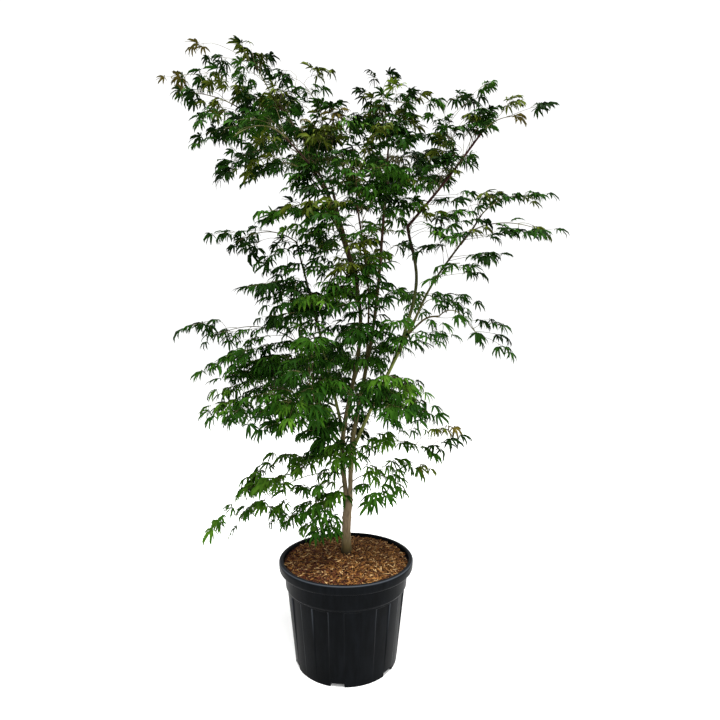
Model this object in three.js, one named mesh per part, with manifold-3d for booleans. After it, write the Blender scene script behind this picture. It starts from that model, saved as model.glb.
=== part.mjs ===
// A potted Japanese maple: a forked tree about 2.4 m tall in a fluted nursery container.
// Millimetres, +Z up, +Y away from the viewer. The origin is the middle of the pot's flat underside.
import * as THREE from "three";
import { mergeVertices } from "three/addons/utils/BufferGeometryUtils.js";
import Module from "manifold-3d";

const wasm = await Module();
wasm.setup();

// Driving dimensions of the container
const pot = {
  height: 375,
  baseRadius: 192,
  bodyTopRadius: 225,
  bodyTop: 275,
  collarRadius: 235,
  lipRadius: 257,
  lipDepth: 36,
  lipRound: 9,
  lipInset: 14,
  lipBevel: 4,
  collarStep: 4,
  stepHeight: 7,
  baseBevel: 3,
  wall: 4,
  floor: 8,
  flutes: 12,
  fluteDepth: 5,
  columnsPerFlute: 6,
  fluteColumns: 3,
  notches: 6,
  notchTurn: -0.131,
  notchWidth: 48,
  notchDepth: 30,
  notchHeight: 14,
};

// The bark mulch fills the pot, lies below the lip and rises a little to a flat seat under the trunk
const mulch = { belowLip: 12, seatRadius: 62, shoulderAt: 0.62, shoulderRise: 10 };

// Clearances between touching pieces
const seatGap = 0.3;
const leafGap = 1.5;

// The trunk, from its flat cut on the mulch to the fork
const trunk = {
  foot: [0, 20, 385],
  via: [[0, 17, 480]],
  tip: [7, 10, 585],
  footRadius: 24,
  cutOff: 8,
  flareHeight: 24,
  radius: 16.5,
  tipRadius: 17.5,
};

// Limbs: name, parent, share of the parent's length where it leaves, points it passes, tip, and its diameters
// at both ends. A stem that leaves the trunk's fork also has its place beside the fork's middle.
// Limbs with a foliage mass at the tip end where they enter that mass.
const boughGirth = [8, 6];
const limbs = [
  ["leader_left", "trunk", 1, [[-16, 28, 800], [55, 10, 1290]], [-55, 0, 1800], [19, 9], [-7, 3, 0]],
  ["leader_centre", "trunk", 1, [[22, -8, 790], [112, 20, 1310]], [165, 20, 1965], [18, 7], [8, -3, 0]],
  ["limb_right", "leader_centre", 0.14, [[120, -22, 995]], [255, -20, 1265], [14, 10]],
  ["limb_right_upper", "limb_right", 1, [[330, -20, 1420]], [475, -30, 1625], [9, 6]],
  ["red_limb_lower", "limb_right", 0.8, [[275, 12, 1445]], [240, 20, 1660], [12, 10]],
  ["red_limb_upper", "red_limb_lower", 1, [[390, 30, 1840]], [545, 40, 2050], [10, 7]],
  ["limb_left", "leader_left", 0.17, [[-90, 0, 885]], [-175, -40, 980], [14, 8]],
  ["limb_left_upper", "leader_left", 0.21, [[-110, 40, 1250]], [-200, 20, 1600], [12, 6]],
  ["bough_far_left", "leader_left", 0.93, [[-215, -10, 1975]], [-395, -10, 2100]],
  ["bough_crest", "leader_left", 0.88, [[-175, 45, 2020]], [-290, 60, 2180]],
  ["bough_upper_front", "leader_left", 0.8, [[-110, -70, 1830]], [-215, -150, 1930]],
  ["bough_upper_back", "leader_left", 0.76, [[-110, 90, 1890]], [-215, 170, 2020]],
  ["bough_upper_low", "leader_left", 0.7, [[-75, -35, 1745]], [-155, -65, 1845]],
  ["bough_shelf", "leader_left", 0.62, [[-5, -45, 1570]], [-60, -60, 1680]],
  ["bough_middle_back", "leader_left", 0.56, [[40, 90, 1480]], [20, 170, 1560]],
  ["bough_top_back", "leader_centre", 0.76, [[165, 105, 1850]], [205, 160, 1960]],
  ["bough_centre_front", "leader_centre", 0.38, [[85, -35, 1400]], [40, -100, 1720]],
  ["bough_red_inner", "red_limb_upper", 0.45, [[420, 70, 1900]], [445, 90, 1980]],
  ["bough_right_upper", "limb_right_upper", 0.86, [[490, -15, 1640]], [525, -15, 1695]],
  ["bough_right_back", "limb_right", 0.6, [[215, 80, 1190]], [300, 190, 1330]],
  ["bough_right_droop", "limb_right", 0.93, [[310, -30, 1292]], [360, -25, 1300]],
  ["bough_left_middle", "limb_left_upper", 0.6, [[-155, 5, 1365]], [-190, -45, 1400]],
  ["bough_left_far", "limb_left_upper", 0.25, [[-115, 55, 1110]], [-190, 60, 1195]],
  ["bough_left_front", "limb_left", 0.45, [[-85, -70, 935]], [-100, -120, 1000]],
  ["bough_left_back", "limb_left_upper", 0.14, [[-95, 95, 970]], [-160, 160, 1050]],
  ["bough_centre_back", "leader_left", 0.34, [[38, 100, 1070]], [55, 180, 1110]],
  ["bough_right_low", "limb_right", 0.35, [[112, -45, 965]], [150, -75, 985]],
].map(([name, from, at, via, tip, girth = boughGirth, side = [0, 0, 0]]) =>
  ({ name, from, at, via, tip, girth, side }));

// Foliage masses: name, limb, share of the limb's length where the stem leaves (1 is its tip), the point that
// the furthest leaf reaches, half the spray's width, and the rise of the stem's arch above the straight line.
const masses = [
  ["foliage_far_left", "bough_far_left", 1, [-730, -30, 2205], 150, 20],
  ["foliage_crest", "bough_crest", 1, [-435, 60, 2450], 190, 0],
  ["foliage_upper_front", "bough_upper_front", 1, [-460, -330, 1850], 180, 40],
  ["foliage_upper_back", "bough_upper_back", 1, [-430, 450, 2110], 220, 40],
  ["foliage_upper_low", "bough_upper_low", 1, [-460, -120, 1790], 160, 40],
  ["foliage_upper_inner", "leader_left", 1, [-120, -40, 2230], 190, 0],
  ["foliage_top", "leader_centre", 1, [136, -6, 2272], 190, 0],
  ["foliage_top_back", "bough_top_back", 1, [260, 460, 2080], 220, 40],
  ["foliage_centre_front", "bough_centre_front", 1, [40, -400, 1770], 190, 40],
  ["foliage_red_tip", "red_limb_upper", 1, [780, 0, 2140], 150, 20],
  ["foliage_red_inner", "bough_red_inner", 1, [385, 160, 2220], 170, 0],
  ["foliage_right_upper", "bough_right_upper", 1, [800, -40, 1800], 150, 30],
  ["foliage_right_middle", "limb_right_upper", 1, [835, -110, 1615], 160, 30],
  ["foliage_right_back", "bough_right_back", 1, [500, 400, 1440], 220, 40],
  ["foliage_right_droop", "bough_right_droop", 1, [595, -80, 1170], 140, 50],
  ["foliage_shelf", "bough_shelf", 1, [-375, -170, 1640], 170, 40],
  ["foliage_middle_back", "bough_middle_back", 1, [-70, 480, 1640], 230, 40],
  ["foliage_left_middle", "limb_left_upper", 1, [-545, 0, 1595], 160, 40],
  ["foliage_left_inner", "bough_left_middle", 1, [-400, -150, 1400], 160, 30],
  ["foliage_left_far", "bough_left_far", 1, [-665, 60, 1230], 170, 60],
  ["foliage_left_front", "bough_left_front", 1, [-170, -430, 960], 190, 50],
  ["foliage_left_dense", "limb_left", 1, [-530, -60, 950], 190, 60],
  ["foliage_left_back", "bough_left_back", 1, [-445, 400, 1090], 210, 50],
  ["foliage_centre_back", "bough_centre_back", 1, [10, 520, 1140], 220, 50],
  ["foliage_right_low", "bough_right_low", 1, [345, -140, 1000], 150, 40],
  ["foliage_right_thin", "leader_centre", 0.1, [420, -60, 820], 110, 60],
  ["foliage_low_right", "leader_centre", 0.05, [310, -80, 660], 110, 40],
  ["foliage_low_left", "leader_left", 0.08, [-500, -90, 490], 150, 60],
  ["foliage_low_front", "leader_left", 0.04, [-95, -190, 490], 110, 40],
].map(([name, from, at, reach, spread, arch]) => ({ name, from, at, reach, spread, arch }));

// How a mass grows: twigs leave its stem to the left and right in turn, each ending in a leaf.
// Their places along the stem step by the golden share, so that they spread evenly however many find room.
const growth = {
  seed: 20,
  twigs: 12,
  tries: 70,
  goldenShare: 0.618,
  firstShare: 0.08,
  lastShare: 0.95,
  forwardShare: 0.5,
  rises: [-0.3, 0.6],
  shortTwig: 42,
  endTwig: 16,
  kneeAt: 0.45,
  siteAt: 0.55,
  widestAt: 0.4,
  halfSpan: 0.85,
  stemRadius: [2.55, 2.4],
  stemSides: 4,
  stemSteps: 3,
  twigRadius: 1.3,
  sunk: 2,
  heightStretch: 1.6,
};

// One leaf: a palm of five lobes, larger than life because each stands for a few.
// Lengths are shares of the leaf's length, measured from its palm. A leaf that doesn't fit is tried smaller.
const leaf = {
  length: 160,
  palm: 0.27,
  lobes: [{ turn: 100, reach: 0.4 }, { turn: 47, reach: 0.62 }, { turn: 0, reach: 0.73 }],
  notchReach: 0.27,
  thickness: 5,
  droop: 0.3,
  clearOfStem: 0.2,
  pastStem: 0.8,
  sizes: [1, 0.85, 0.7],
  pitches: [-0.8, -1.6, -0.3],
};

const materials = {
  pot: new THREE.MeshStandardMaterial({ color: 0x1d2024, roughness: 0.5, metalness: 0 }),
  mulch: new THREE.MeshStandardMaterial({ color: 0x7a5030, roughness: 0.95, metalness: 0 }),
  bark: new THREE.MeshStandardMaterial({ color: 0x8a7d62, roughness: 0.85, metalness: 0 }),
  redBark: new THREE.MeshStandardMaterial({ color: 0x5f3329, roughness: 0.7, metalness: 0 }),
  leaves: new THREE.MeshStandardMaterial({ color: 0x2c5a22, roughness: 0.6, metalness: 0 }),
};

const up = new THREE.Vector3(0, 0, 1);
const vector = (xyz) => new THREE.Vector3(...xyz);

// A seeded stream of numbers from 0 to 1
function seededRandom(seed) {
  let state = seed >>> 0;
  return () => {
    state = (state + 0x6d2b79f5) >>> 0;
    let mixed = Math.imul(state ^ (state >>> 15), state | 1);
    mixed ^= mixed + Math.imul(mixed ^ (mixed >>> 7), mixed | 61);
    return ((mixed ^ (mixed >>> 14)) >>> 0) / 4294967296;
  };
}

function solidOf(geometry) {
  geometry.deleteAttribute("normal");
  geometry.deleteAttribute("uv");
  const merged = mergeVertices(geometry, 1e-4);
  const vertProperties = new Float32Array(merged.attributes.position.array);
  const triVerts = new Uint32Array(merged.index.array);
  return new wasm.Manifold(new wasm.Mesh({ numProp: 3, vertProperties, triVerts }));
}

function meshOf(solid, name, material) {
  const { vertProperties, triVerts } = solid.getMesh();
  const geometry = new THREE.BufferGeometry();
  geometry.setAttribute("position", new THREE.BufferAttribute(vertProperties, 3));
  geometry.setIndex(new THREE.BufferAttribute(triVerts, 1));
  geometry.computeVertexNormals();
  const mesh = new THREE.Mesh(geometry, material);
  mesh.name = name;
  return mesh;
}

const largestPiece = (solid) => solid.decompose().sort((a, b) => b.volume() - a.volume())[0];

// A body of revolution about Z whose marked rows take the pot's flutes, which run out towards the other rows
function flutedLathe(profile) {
  const columns = pot.flutes * pot.columnsPerFlute;
  const outline = profile.map(([radius, height]) => new THREE.Vector2(radius, height));
  const geometry = new THREE.LatheGeometry(outline, columns);
  const position = geometry.attributes.position;
  for (let i = 0; i < position.count; i += 1) {
    const row = i % profile.length;
    const column = Math.floor(i / profile.length);
    const recessed = column % pot.columnsPerFlute < pot.fluteColumns;
    const radius = profile[row][0] - (profile[row][2] && recessed ? pot.fluteDepth : 0);
    const turn = (((column % columns) + 0.5) / columns) * 2 * Math.PI;
    position.setXYZ(i, radius * Math.sin(turn), -radius * Math.cos(turn), profile[row][1]);
  }
  return solidOf(geometry);
}

function buildPot() {
  const lipFoot = pot.height - pot.lipDepth;
  const innerLip = pot.lipRadius - pot.lipInset;
  const stepTop = pot.bodyTop + pot.stepHeight;
  const outside = [
    [0, 0],
    [pot.baseRadius - pot.baseBevel, 0],
    [pot.baseRadius, pot.baseBevel],
    [pot.bodyTopRadius, pot.bodyTop, true],
    [pot.collarRadius - pot.collarStep, stepTop],
    [pot.collarRadius, lipFoot],
    [pot.lipRadius - pot.lipRound, lipFoot + 2],
    [pot.lipRadius, lipFoot + pot.lipRound],
    [pot.lipRadius, pot.height - pot.lipRound],
    [pot.lipRadius - pot.lipRound / 2, pot.height - 1],
    [innerLip, pot.height],
  ];
  const inside = [
    [innerLip - pot.wall, pot.height - pot.lipBevel],
    [pot.collarRadius - pot.wall, lipFoot],
    [pot.collarRadius - pot.collarStep - pot.wall, stepTop],
    [pot.bodyTopRadius - pot.fluteDepth - pot.wall, pot.bodyTop],
    [pot.baseRadius - pot.fluteDepth - pot.wall, pot.floor],
    [0, pot.floor],
  ];
  let solid = flutedLathe([...outside, ...inside]);
  for (let i = 0; i < pot.notches; i += 1) {
    const turn = pot.notchTurn + (i / pot.notches) * 2 * Math.PI;
    const box = new THREE.BoxGeometry(pot.notchWidth, pot.notchDepth, 2 * pot.notchHeight);
    box.translate(0, -pot.baseRadius, 0);
    box.rotateZ(turn);
    solid = solid.subtract(solidOf(box));
  }
  return solid;
}

function buildMulch() {
  const lipFoot = pot.height - pot.lipDepth;
  const edge = pot.height - mulch.belowLip;
  const lipShare = (edge - lipFoot) / (pot.height - pot.lipBevel - lipFoot);
  const innerLip = pot.lipRadius - pot.lipInset;
  const edgeRadius = THREE.MathUtils.lerp(pot.collarRadius, innerLip, lipShare) - pot.wall;
  const seat = trunk.foot[2] - seatGap;
  const inset = pot.wall + seatGap;
  return flutedLathe([
    [0, pot.floor + seatGap],
    [pot.baseRadius - pot.fluteDepth - inset, pot.floor + seatGap],
    [pot.bodyTopRadius - pot.fluteDepth - inset, pot.bodyTop],
    [pot.collarRadius - pot.collarStep - inset, pot.bodyTop + pot.stepHeight],
    [pot.collarRadius - inset, lipFoot],
    [edgeRadius - seatGap, edge],
    [mulch.shoulderAt * edgeRadius, edge + mulch.shoulderRise],
    [mulch.seatRadius, seat],
    [0, seat],
  ]);
}

// A round limb bent along a curve: a closed cylinder whose rows follow the curve and take its radius there
function limbSolid(curve, radiusAt, sides, steps, grow = 0) {
  const blank = new THREE.CylinderGeometry(1, 1, 1, sides, steps);
  const frames = curve.computeFrenetFrames(steps);
  const rows = frames.tangents.map((tangent, i) => {
    const endShift = i === 0 ? -grow : i === steps ? grow : 0;
    return curve.getPointAt(i / steps).addScaledVector(tangent, endShift);
  });
  const position = blank.attributes.position;
  for (let i = 0; i < position.count; i += 1) {
    const row = Math.round((position.getY(i) + 0.5) * steps);
    const radius = radiusAt(row / steps) + grow;
    const point = rows[row].clone()
      .addScaledVector(frames.normals[row], position.getX(i) * radius)
      .addScaledVector(frames.binormals[row], -position.getZ(i) * radius);
    position.setXYZ(i, point.x, point.y, point.z);
  }
  return solidOf(blank);
}

const taper = ([start, end]) => (share) => THREE.MathUtils.lerp(start, end, share);

// The trunk flares to its root collar with a flat cut, and swells a little below its fork
function trunkRadius(share) {
  const aboveFoot = share * (trunk.tip[2] - trunk.foot[2]);
  const flare = Math.exp(-aboveFoot / trunk.flareHeight);
  const swell = Math.pow(share, 4);
  return trunk.radius + (trunk.footRadius - trunk.radius) * flare + (trunk.tipRadius - trunk.radius) * swell;
}

// Every limb's centre line and girth, by name
function layOutLimbs() {
  const root = vector(trunk.foot).addScaledVector(up, -trunk.cutOff);
  const trunkCurve = new THREE.CatmullRomCurve3([root, ...trunk.via.map(vector), vector(trunk.tip)]);
  const laid = new Map([["trunk", { curve: trunkCurve, radiusAt: trunkRadius, sides: 12, steps: 7 }]]);
  for (const limb of limbs) {
    const parent = laid.get(limb.from);
    const inset = limb.at === 1 ? -growth.sunk : 0;
    const start = parent.curve.getPointAt(limb.at).add(vector(limb.side));
    start.addScaledVector(parent.curve.getTangentAt(limb.at), inset);
    const curve = new THREE.CatmullRomCurve3([start, ...limb.via.map(vector), vector(limb.tip)]);
    const radiusAt = taper(limb.girth.map((diameter) => diameter / 2));
    const long = curve.getLength() > 700;
    laid.set(limb.name, { curve, radiusAt, sides: long ? 8 : 6, steps: long ? 10 : 4 });
  }
  return laid;
}

// Each limb is trimmed where it starts, so that it stands clear of its parent and of the limbs before it
function buildLimbs(laid) {
  const solids = new Map();
  const skins = [];
  for (const [name, { curve, radiusAt, sides, steps }] of laid) {
    let solid = limbSolid(curve, radiusAt, sides, steps);
    if (name === "trunk") solid = solid.trimByPlane([0, 0, 1], trunk.foot[2]);
    for (const skin of skins) solid = solid.subtract(skin);
    solids.set(name, largestPiece(solid));
    skins.push(limbSolid(curve, radiusAt, sides, steps, seatGap));
  }
  return { solids, skin: wasm.Manifold.union(skins) };
}

// The stem of a mass: an arch from its limb that stops a leaf short of its reach
function layOutStem(mass, laid) {
  const parent = laid.get(mass.from).curve;
  const start = parent.getPointAt(mass.at);
  if (mass.at === 1) start.addScaledVector(parent.getTangentAt(1), -growth.sunk);
  const reach = vector(mass.reach);
  const whole = start.distanceTo(reach);
  const end = start.clone().lerp(reach, 1 - (leaf.pastStem * leaf.length) / whole);
  const knee = start.clone().lerp(end, growth.kneeAt).addScaledVector(up, 2 * mass.arch);
  const curve = new THREE.QuadraticBezierCurve3(start, knee, end);
  const site = start.clone().lerp(reach, growth.siteAt).addScaledVector(up, mass.arch / 2);
  return { ...mass, curve, site, size: whole / 2 };
}

// Room left between a point and the nearest neighbouring mass: each mass keeps to the cell round its own site
function roomAt(point, mine, all) {
  const stretched = (p) => p.clone().setZ(p.z * growth.heightStretch);
  const here = stretched(point);
  const power = (mass) => here.distanceToSquared(stretched(mass.site)) - mass.size * mass.size;
  let room = Infinity;
  for (const other of all) {
    if (other === mine) continue;
    const apart = stretched(other.site).distanceTo(stretched(mine.site));
    room = Math.min(room, (power(other) - power(mine)) / (2 * apart));
  }
  return room;
}

// The outline of a leaf in its own plane, from its left basal lobe round the tip to the right one
function leafOutline() {
  const [basal, side, middle] = leaf.lobes;
  const lobes = [basal, side, middle, { ...side, turn: -side.turn }, { ...basal, turn: -basal.turn }];
  const outline = [];
  const mark = (degrees, reach) => {
    const turn = THREE.MathUtils.degToRad(degrees);
    outline.push({ x: leaf.palm + reach * Math.cos(turn), y: reach * Math.sin(turn), reach });
  };
  lobes.forEach((lobe, i) => {
    if (i > 0) mark((lobes[i - 1].turn + lobe.turn) / 2, leaf.notchReach);
    mark(lobe.turn, lobe.reach);
  });
  return outline;
}

// A twig that ends in a leaf, as one closed solid: a three-sided stalk whose end opens into the lobed blade.
// The blade is thickest at its palm and thins to its drooping edge.
function leafyTwig(foot, root, heading, scale) {
  const along = heading.clone().normalize();
  const side = new THREE.Vector3().crossVectors(up, along).normalize();
  const face = new THREE.Vector3().crossVectors(along, side);
  const size = leaf.length * scale;
  const place = (from, x, y, z) =>
    from.clone().addScaledVector(along, x).addScaledVector(side, y).addScaledVector(face, z);
  const corners = [[0, 1], [Math.sqrt(0.75), -0.5], [-Math.sqrt(0.75), -0.5]];
  const thick = growth.twigRadius;
  const ring = (centre) => corners.map(([y, z]) => place(centre, 0, y * thick, z * thick));
  const rim = leafOutline().map(({ x, y, reach }) =>
    place(root, x * size, y * size, -leaf.droop * reach * reach * size));
  const poles = [1, -1].map((end) => place(root, leaf.palm * size, 0, (end * leaf.thickness) / 2));
  const points = [...ring(foot), ...ring(root), ...poles, ...rim];
  const [top, left, right, upper, lower, first] = [3, 4, 5, 6, 7, 8];
  const last = points.length - 1;
  const faces = [[0, 1, 2], [upper, first, top], [upper, top, last], [lower, left, first],
    [lower, last, right], [lower, right, left], [top, first, left], [right, last, top]];
  for (const [a, b] of [[0, 1], [1, 2], [2, 0]]) faces.push([top + a, top + b, b], [top + a, b, a]);
  for (let i = first; i < last; i += 1) faces.push([upper, i + 1, i], [lower, i, i + 1]);
  const geometry = new THREE.BufferGeometry().setFromPoints(points);
  geometry.setIndex(faces.flat());
  return { solid: solidOf(geometry), points: [root, ...poles, ...rim] };
}

// Grows one mass: its stem, and leafy twigs that keep to the mass's own cell and clear of limbs and twigs
function growMass(mass, all, limbSkin, guard, random) {
  const vary = (amount) => 1 + amount * (2 * random() - 1);
  const wholeStem = limbSolid(mass.curve, taper(growth.stemRadius), growth.stemSides, growth.stemSteps);
  const stem = largestPiece(wholeStem.subtract(limbSkin));
  const twigs = [];
  const tries = leaf.sizes.flatMap((scale) => leaf.pitches.map((pitch) => ({ scale, pitch })));
  const grow = (foot, root, direction, lift = 0) => {
    for (const { scale, pitch } of tries) {
      const heading = direction.clone().setZ(lift + pitch * vary(0.3));
      const { solid, points } = leafyTwig(foot, root, heading, scale * vary(0.06));
      const inside = points.every((point) => roomAt(point, mass, all) > leafGap);
      if (!inside || !solid.intersect(guard).isEmpty()) continue;
      if (twigs.some((other) => !other.intersect(solid).isEmpty())) continue;
      twigs.push(solid);
      return;
    }
  };
  const ahead = mass.curve.getTangentAt(1);
  const end = mass.curve.getPointAt(1).addScaledVector(ahead, growth.endTwig);
  grow(mass.curve.getPointAt(0.98), end, ahead, 1.2 * ahead.z);
  for (let k = 0; k < growth.tries && twigs.length < growth.twigs; k += 1) {
    const share = THREE.MathUtils.lerp(growth.lastShare, growth.firstShare, (k * growth.goldenShare) % 1);
    const foot = mass.curve.getPointAt(share);
    const heading = mass.curve.getTangentAt(share);
    const side = new THREE.Vector3().crossVectors(heading, up);
    if (side.length() < 0.5) side.set(Math.cos(k), Math.sin(k), 0);
    side.normalize().multiplyScalar(k % 2 === 0 ? 1 : -1);
    const outOfMiddle = (share - growth.widestAt) / growth.halfSpan;
    const width = mass.spread * Math.sqrt(1 - outOfMiddle * outOfMiddle) - leaf.clearOfStem * leaf.length;
    const direction = heading.clone().multiplyScalar(growth.forwardShare * vary(0.6)).add(side)
      .addScaledVector(up, THREE.MathUtils.lerp(...growth.rises, random())).normalize();
    const reach = THREE.MathUtils.lerp(growth.shortTwig, Math.max(growth.shortTwig, width), random());
    grow(foot, foot.clone().addScaledVector(direction, reach), direction);
  }
  return largestPiece(wasm.Manifold.union([stem, ...twigs]));
}

const container = new THREE.Group();
container.add(meshOf(buildPot(), "pot", materials.pot));
container.add(meshOf(buildMulch(), "bark_mulch", materials.mulch));

const laid = layOutLimbs();
const { solids, skin } = buildLimbs(laid);
const wood = new THREE.Group();
for (const [name, solid] of solids) {
  wood.add(meshOf(solid, name, name.startsWith("red") ? materials.redBark : materials.bark));
}

const stems = masses.map((mass) => layOutStem(mass, laid));
const limbGuards = [...laid.values()].map(({ curve, radiusAt, sides, steps }) =>
  limbSolid(curve, radiusAt, sides, steps, leafGap));
const stemGuards = stems.map((mass) =>
  limbSolid(mass.curve, taper(growth.stemRadius), growth.stemSides, growth.stemSteps, leafGap));
const crown = new THREE.Group();
stems.forEach((mass, i) => {
  const guard = wasm.Manifold.union([...limbGuards, ...stemGuards.filter((_, other) => other !== i)]);
  const random = seededRandom(growth.seed + i);
  crown.add(meshOf(growMass(mass, stems, skin, guard, random), mass.name, materials.leaves));
});

const pottedMaple = new THREE.Group();
pottedMaple.add(container, wood, crown);

export default pottedMaple;
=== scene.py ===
import bpy
import numpy as np
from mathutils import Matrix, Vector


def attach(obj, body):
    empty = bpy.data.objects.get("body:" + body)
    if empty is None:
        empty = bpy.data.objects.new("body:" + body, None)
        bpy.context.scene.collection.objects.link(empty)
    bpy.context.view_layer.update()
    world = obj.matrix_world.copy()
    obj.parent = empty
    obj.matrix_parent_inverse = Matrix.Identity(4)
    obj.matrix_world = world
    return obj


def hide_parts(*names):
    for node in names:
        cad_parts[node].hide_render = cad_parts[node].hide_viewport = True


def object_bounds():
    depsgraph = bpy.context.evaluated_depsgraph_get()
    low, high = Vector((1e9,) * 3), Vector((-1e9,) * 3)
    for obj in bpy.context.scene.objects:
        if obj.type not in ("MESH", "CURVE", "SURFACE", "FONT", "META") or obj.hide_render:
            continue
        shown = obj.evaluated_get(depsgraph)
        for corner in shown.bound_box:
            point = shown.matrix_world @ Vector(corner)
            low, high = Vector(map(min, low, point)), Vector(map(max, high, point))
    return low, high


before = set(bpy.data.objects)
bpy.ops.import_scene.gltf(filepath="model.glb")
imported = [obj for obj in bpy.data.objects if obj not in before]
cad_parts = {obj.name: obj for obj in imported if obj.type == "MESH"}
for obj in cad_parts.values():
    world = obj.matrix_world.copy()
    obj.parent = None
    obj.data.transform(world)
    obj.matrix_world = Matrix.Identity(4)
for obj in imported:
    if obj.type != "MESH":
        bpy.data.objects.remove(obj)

# A potted Japanese maple, dressed for the camera. Sizes are in millimetres until a mesh is made.
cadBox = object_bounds()
metre = 0.001
up = np.array([0.0, 0.0, 1.0])
sliver = 1e-6  # keeps a direction from vanishing

# the camera that took the photograph, in the frame of the part, and the studio round it; a lamp has its place, its
# width in metres and its power in watts
studio = {
    "eye": (53, -1800, 1100), "climb": 0.0173, "lens": 23.1, "sensor": 36, "frame": 720, "sightEnd": 200,
    "floorRadius": 60000, "floorSides": 96, "surround": 1.1, "lampAim": (0, 0, 1300),
    "lamps": {"overhead": ((100, -1800, 6500), 3.6, 980), "side": ((3000, -2100, 1500), 2.0, 80)},
}


# Shared helpers

# sRGB hex to linear: a channel c is c / 12.92 when small, else ((c + 0.055) / 1.055) to the power 2.4
def tint(code):
    c = np.array([int(code[i:i + 2], 16) for i in (1, 3, 5)]) / 255
    linear = np.where(c <= 0.04045, c / 12.92, ((c + 0.055) / 1.055) ** 2.4)
    return (*linear.tolist(), 1.0)


# sets a node's inputs and links those given as (node, output)
def setInputs(material, node, inputs):
    for socket, value in inputs.items():
        if isinstance(value, tuple) and isinstance(value[0], bpy.types.Node):
            material.node_tree.links.new(value[0].outputs[value[1]], node.inputs[socket])
        else:
            node.inputs[socket].default_value = value


# adds a node with its properties, its inputs and, for a colour ramp, its stops as (position, colour)
def addNode(material, kind, inputs, stops=(), **settings):
    made = material.node_tree.nodes.new("ShaderNode" + kind)
    for key, value in settings.items():
        setattr(made, key, value)
    setInputs(material, made, inputs)
    for k, (at, colour) in enumerate(stops):
        elements = made.color_ramp.elements
        stop = elements.new(at) if k else elements[0]
        stop.position, stop.color = at, tint(colour)
    if stops:
        elements.remove(elements[-1])
    return made


# a material whose shader takes these constants on its own sockets
def startMaterial(name, constants):
    material = bpy.data.materials.new(name)
    material.use_nodes = True
    shader = material.node_tree.nodes["Principled BSDF"]
    setInputs(material, shader, constants)
    return material, shader


# a material whose colour goes from stop to stop with one noise and whose relief, if any, follows a finer one
def mottled(name, constants, noise, stops, grain=None, bump=None):
    material, shader = startMaterial(name, constants)
    place = (addNode(material, "TexCoord", {}), "Object")
    patch = addNode(material, "TexNoise", {"Vector": place, **noise})
    shade = addNode(material, "ValToRGB", {"Fac": (patch, "Fac")}, stops)
    setInputs(material, shader, {"Base Color": (shade, "Color")})
    if grain:
        fine = addNode(material, "TexNoise", {"Vector": place, **grain})
        relief = addNode(material, "Bump", {"Height": (fine, "Fac"), **bump})
        setInputs(material, shader, {"Normal": (relief, "Normal")})
    return material


# a mesh object from vertices in millimetres and arrays of quads and triangles
def meshPiece(name, verts, quads, tris, material):
    quads = np.asarray(quads, np.int32).reshape(-1, 4)
    tris = np.asarray(tris, np.int32).reshape(-1, 3)
    corners = np.concatenate([quads.ravel(), tris.ravel()])
    starts = np.concatenate([np.arange(len(quads)) * 4, len(quads) * 4 + np.arange(len(tris)) * 3])
    mesh = bpy.data.meshes.new(name)
    mesh.vertices.add(verts.size // 3)
    mesh.loops.add(len(corners))
    mesh.polygons.add(len(starts))
    mesh.vertices.foreach_set("co", np.ascontiguousarray(verts.reshape(-1) * metre, np.float32))
    mesh.loops.foreach_set("vertex_index", corners)
    mesh.polygons.foreach_set("loop_start", starts.astype(np.int32))
    mesh.update(calc_edges=True)
    mesh.validate()
    mesh.shade_smooth()
    mesh.materials.append(material)
    piece = bpy.data.objects.new(name, mesh)
    bpy.context.scene.collection.objects.link(piece)
    return piece


# a piece rides the root body and stands for its CAD nodes, which it hides; the slot is not used
def dress(piece, slot, *nodes):
    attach(piece, "root")
    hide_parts(*nodes)


# vectors brought to a length of 1
def unit(v):
    return v / np.maximum(np.linalg.norm(v, axis=-1, keepdims=True), 1e-9)


# angles that part a full turn evenly
def turnsOf(count):
    return np.arange(count) * 2 * np.pi / count


# points by radius, turn from the camera's side and height
def roundAxis(radius, turn, height):
    return np.stack([radius * np.sin(turn), -radius * np.cos(turn), height + 0 * turn], axis=-1)


# x wrapped to half a period on either side of 0
def wrapped(x, period):
    return np.mod(x + period / 2, period) - period / 2


# rises from 0 to 1 with level ends as x goes from low to high
def ease(x, low, high):
    s = np.clip((x - low) / (high - low), 0, 1)
    return s * s * (3 - 2 * s)


# quads between neighbouring rows of a grid whose columns close into rings, for many grids at once
def ringQuads(count, rows, columns):
    row = np.arange(rows - 1)[:, None] * columns
    here = np.arange(columns)
    there = (here + 1) % columns
    one = np.stack([row + here, row + there, row + columns + there, row + columns + here], axis=-1)
    return (one.reshape(1, -1, 4) + (np.arange(count) * rows * columns)[:, None, None]).reshape(-1, 4)


# closed surfaces from many grids of rings at once: the first and last ring of each close on a pole
def closedRings(grids, lowPoles, highPoles):
    count, rows, columns, _ = grids.shape
    here = np.arange(columns)
    there = (here + 1) % columns
    start = (np.arange(count) * rows * columns)[:, None]
    end = start + (rows - 1) * columns
    pole = count * rows * columns + np.arange(count)[:, None] + 0 * here
    low = np.stack([start + there, start + here, pole], axis=-1)
    high = np.stack([end + here, end + there, pole + count], axis=-1)
    verts = np.concatenate([grids.reshape(-1, 3), lowPoles, highPoles])
    return verts, ringQuads(count, rows, columns), np.concatenate([low.reshape(-1, 3), high.reshape(-1, 3)])


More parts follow.
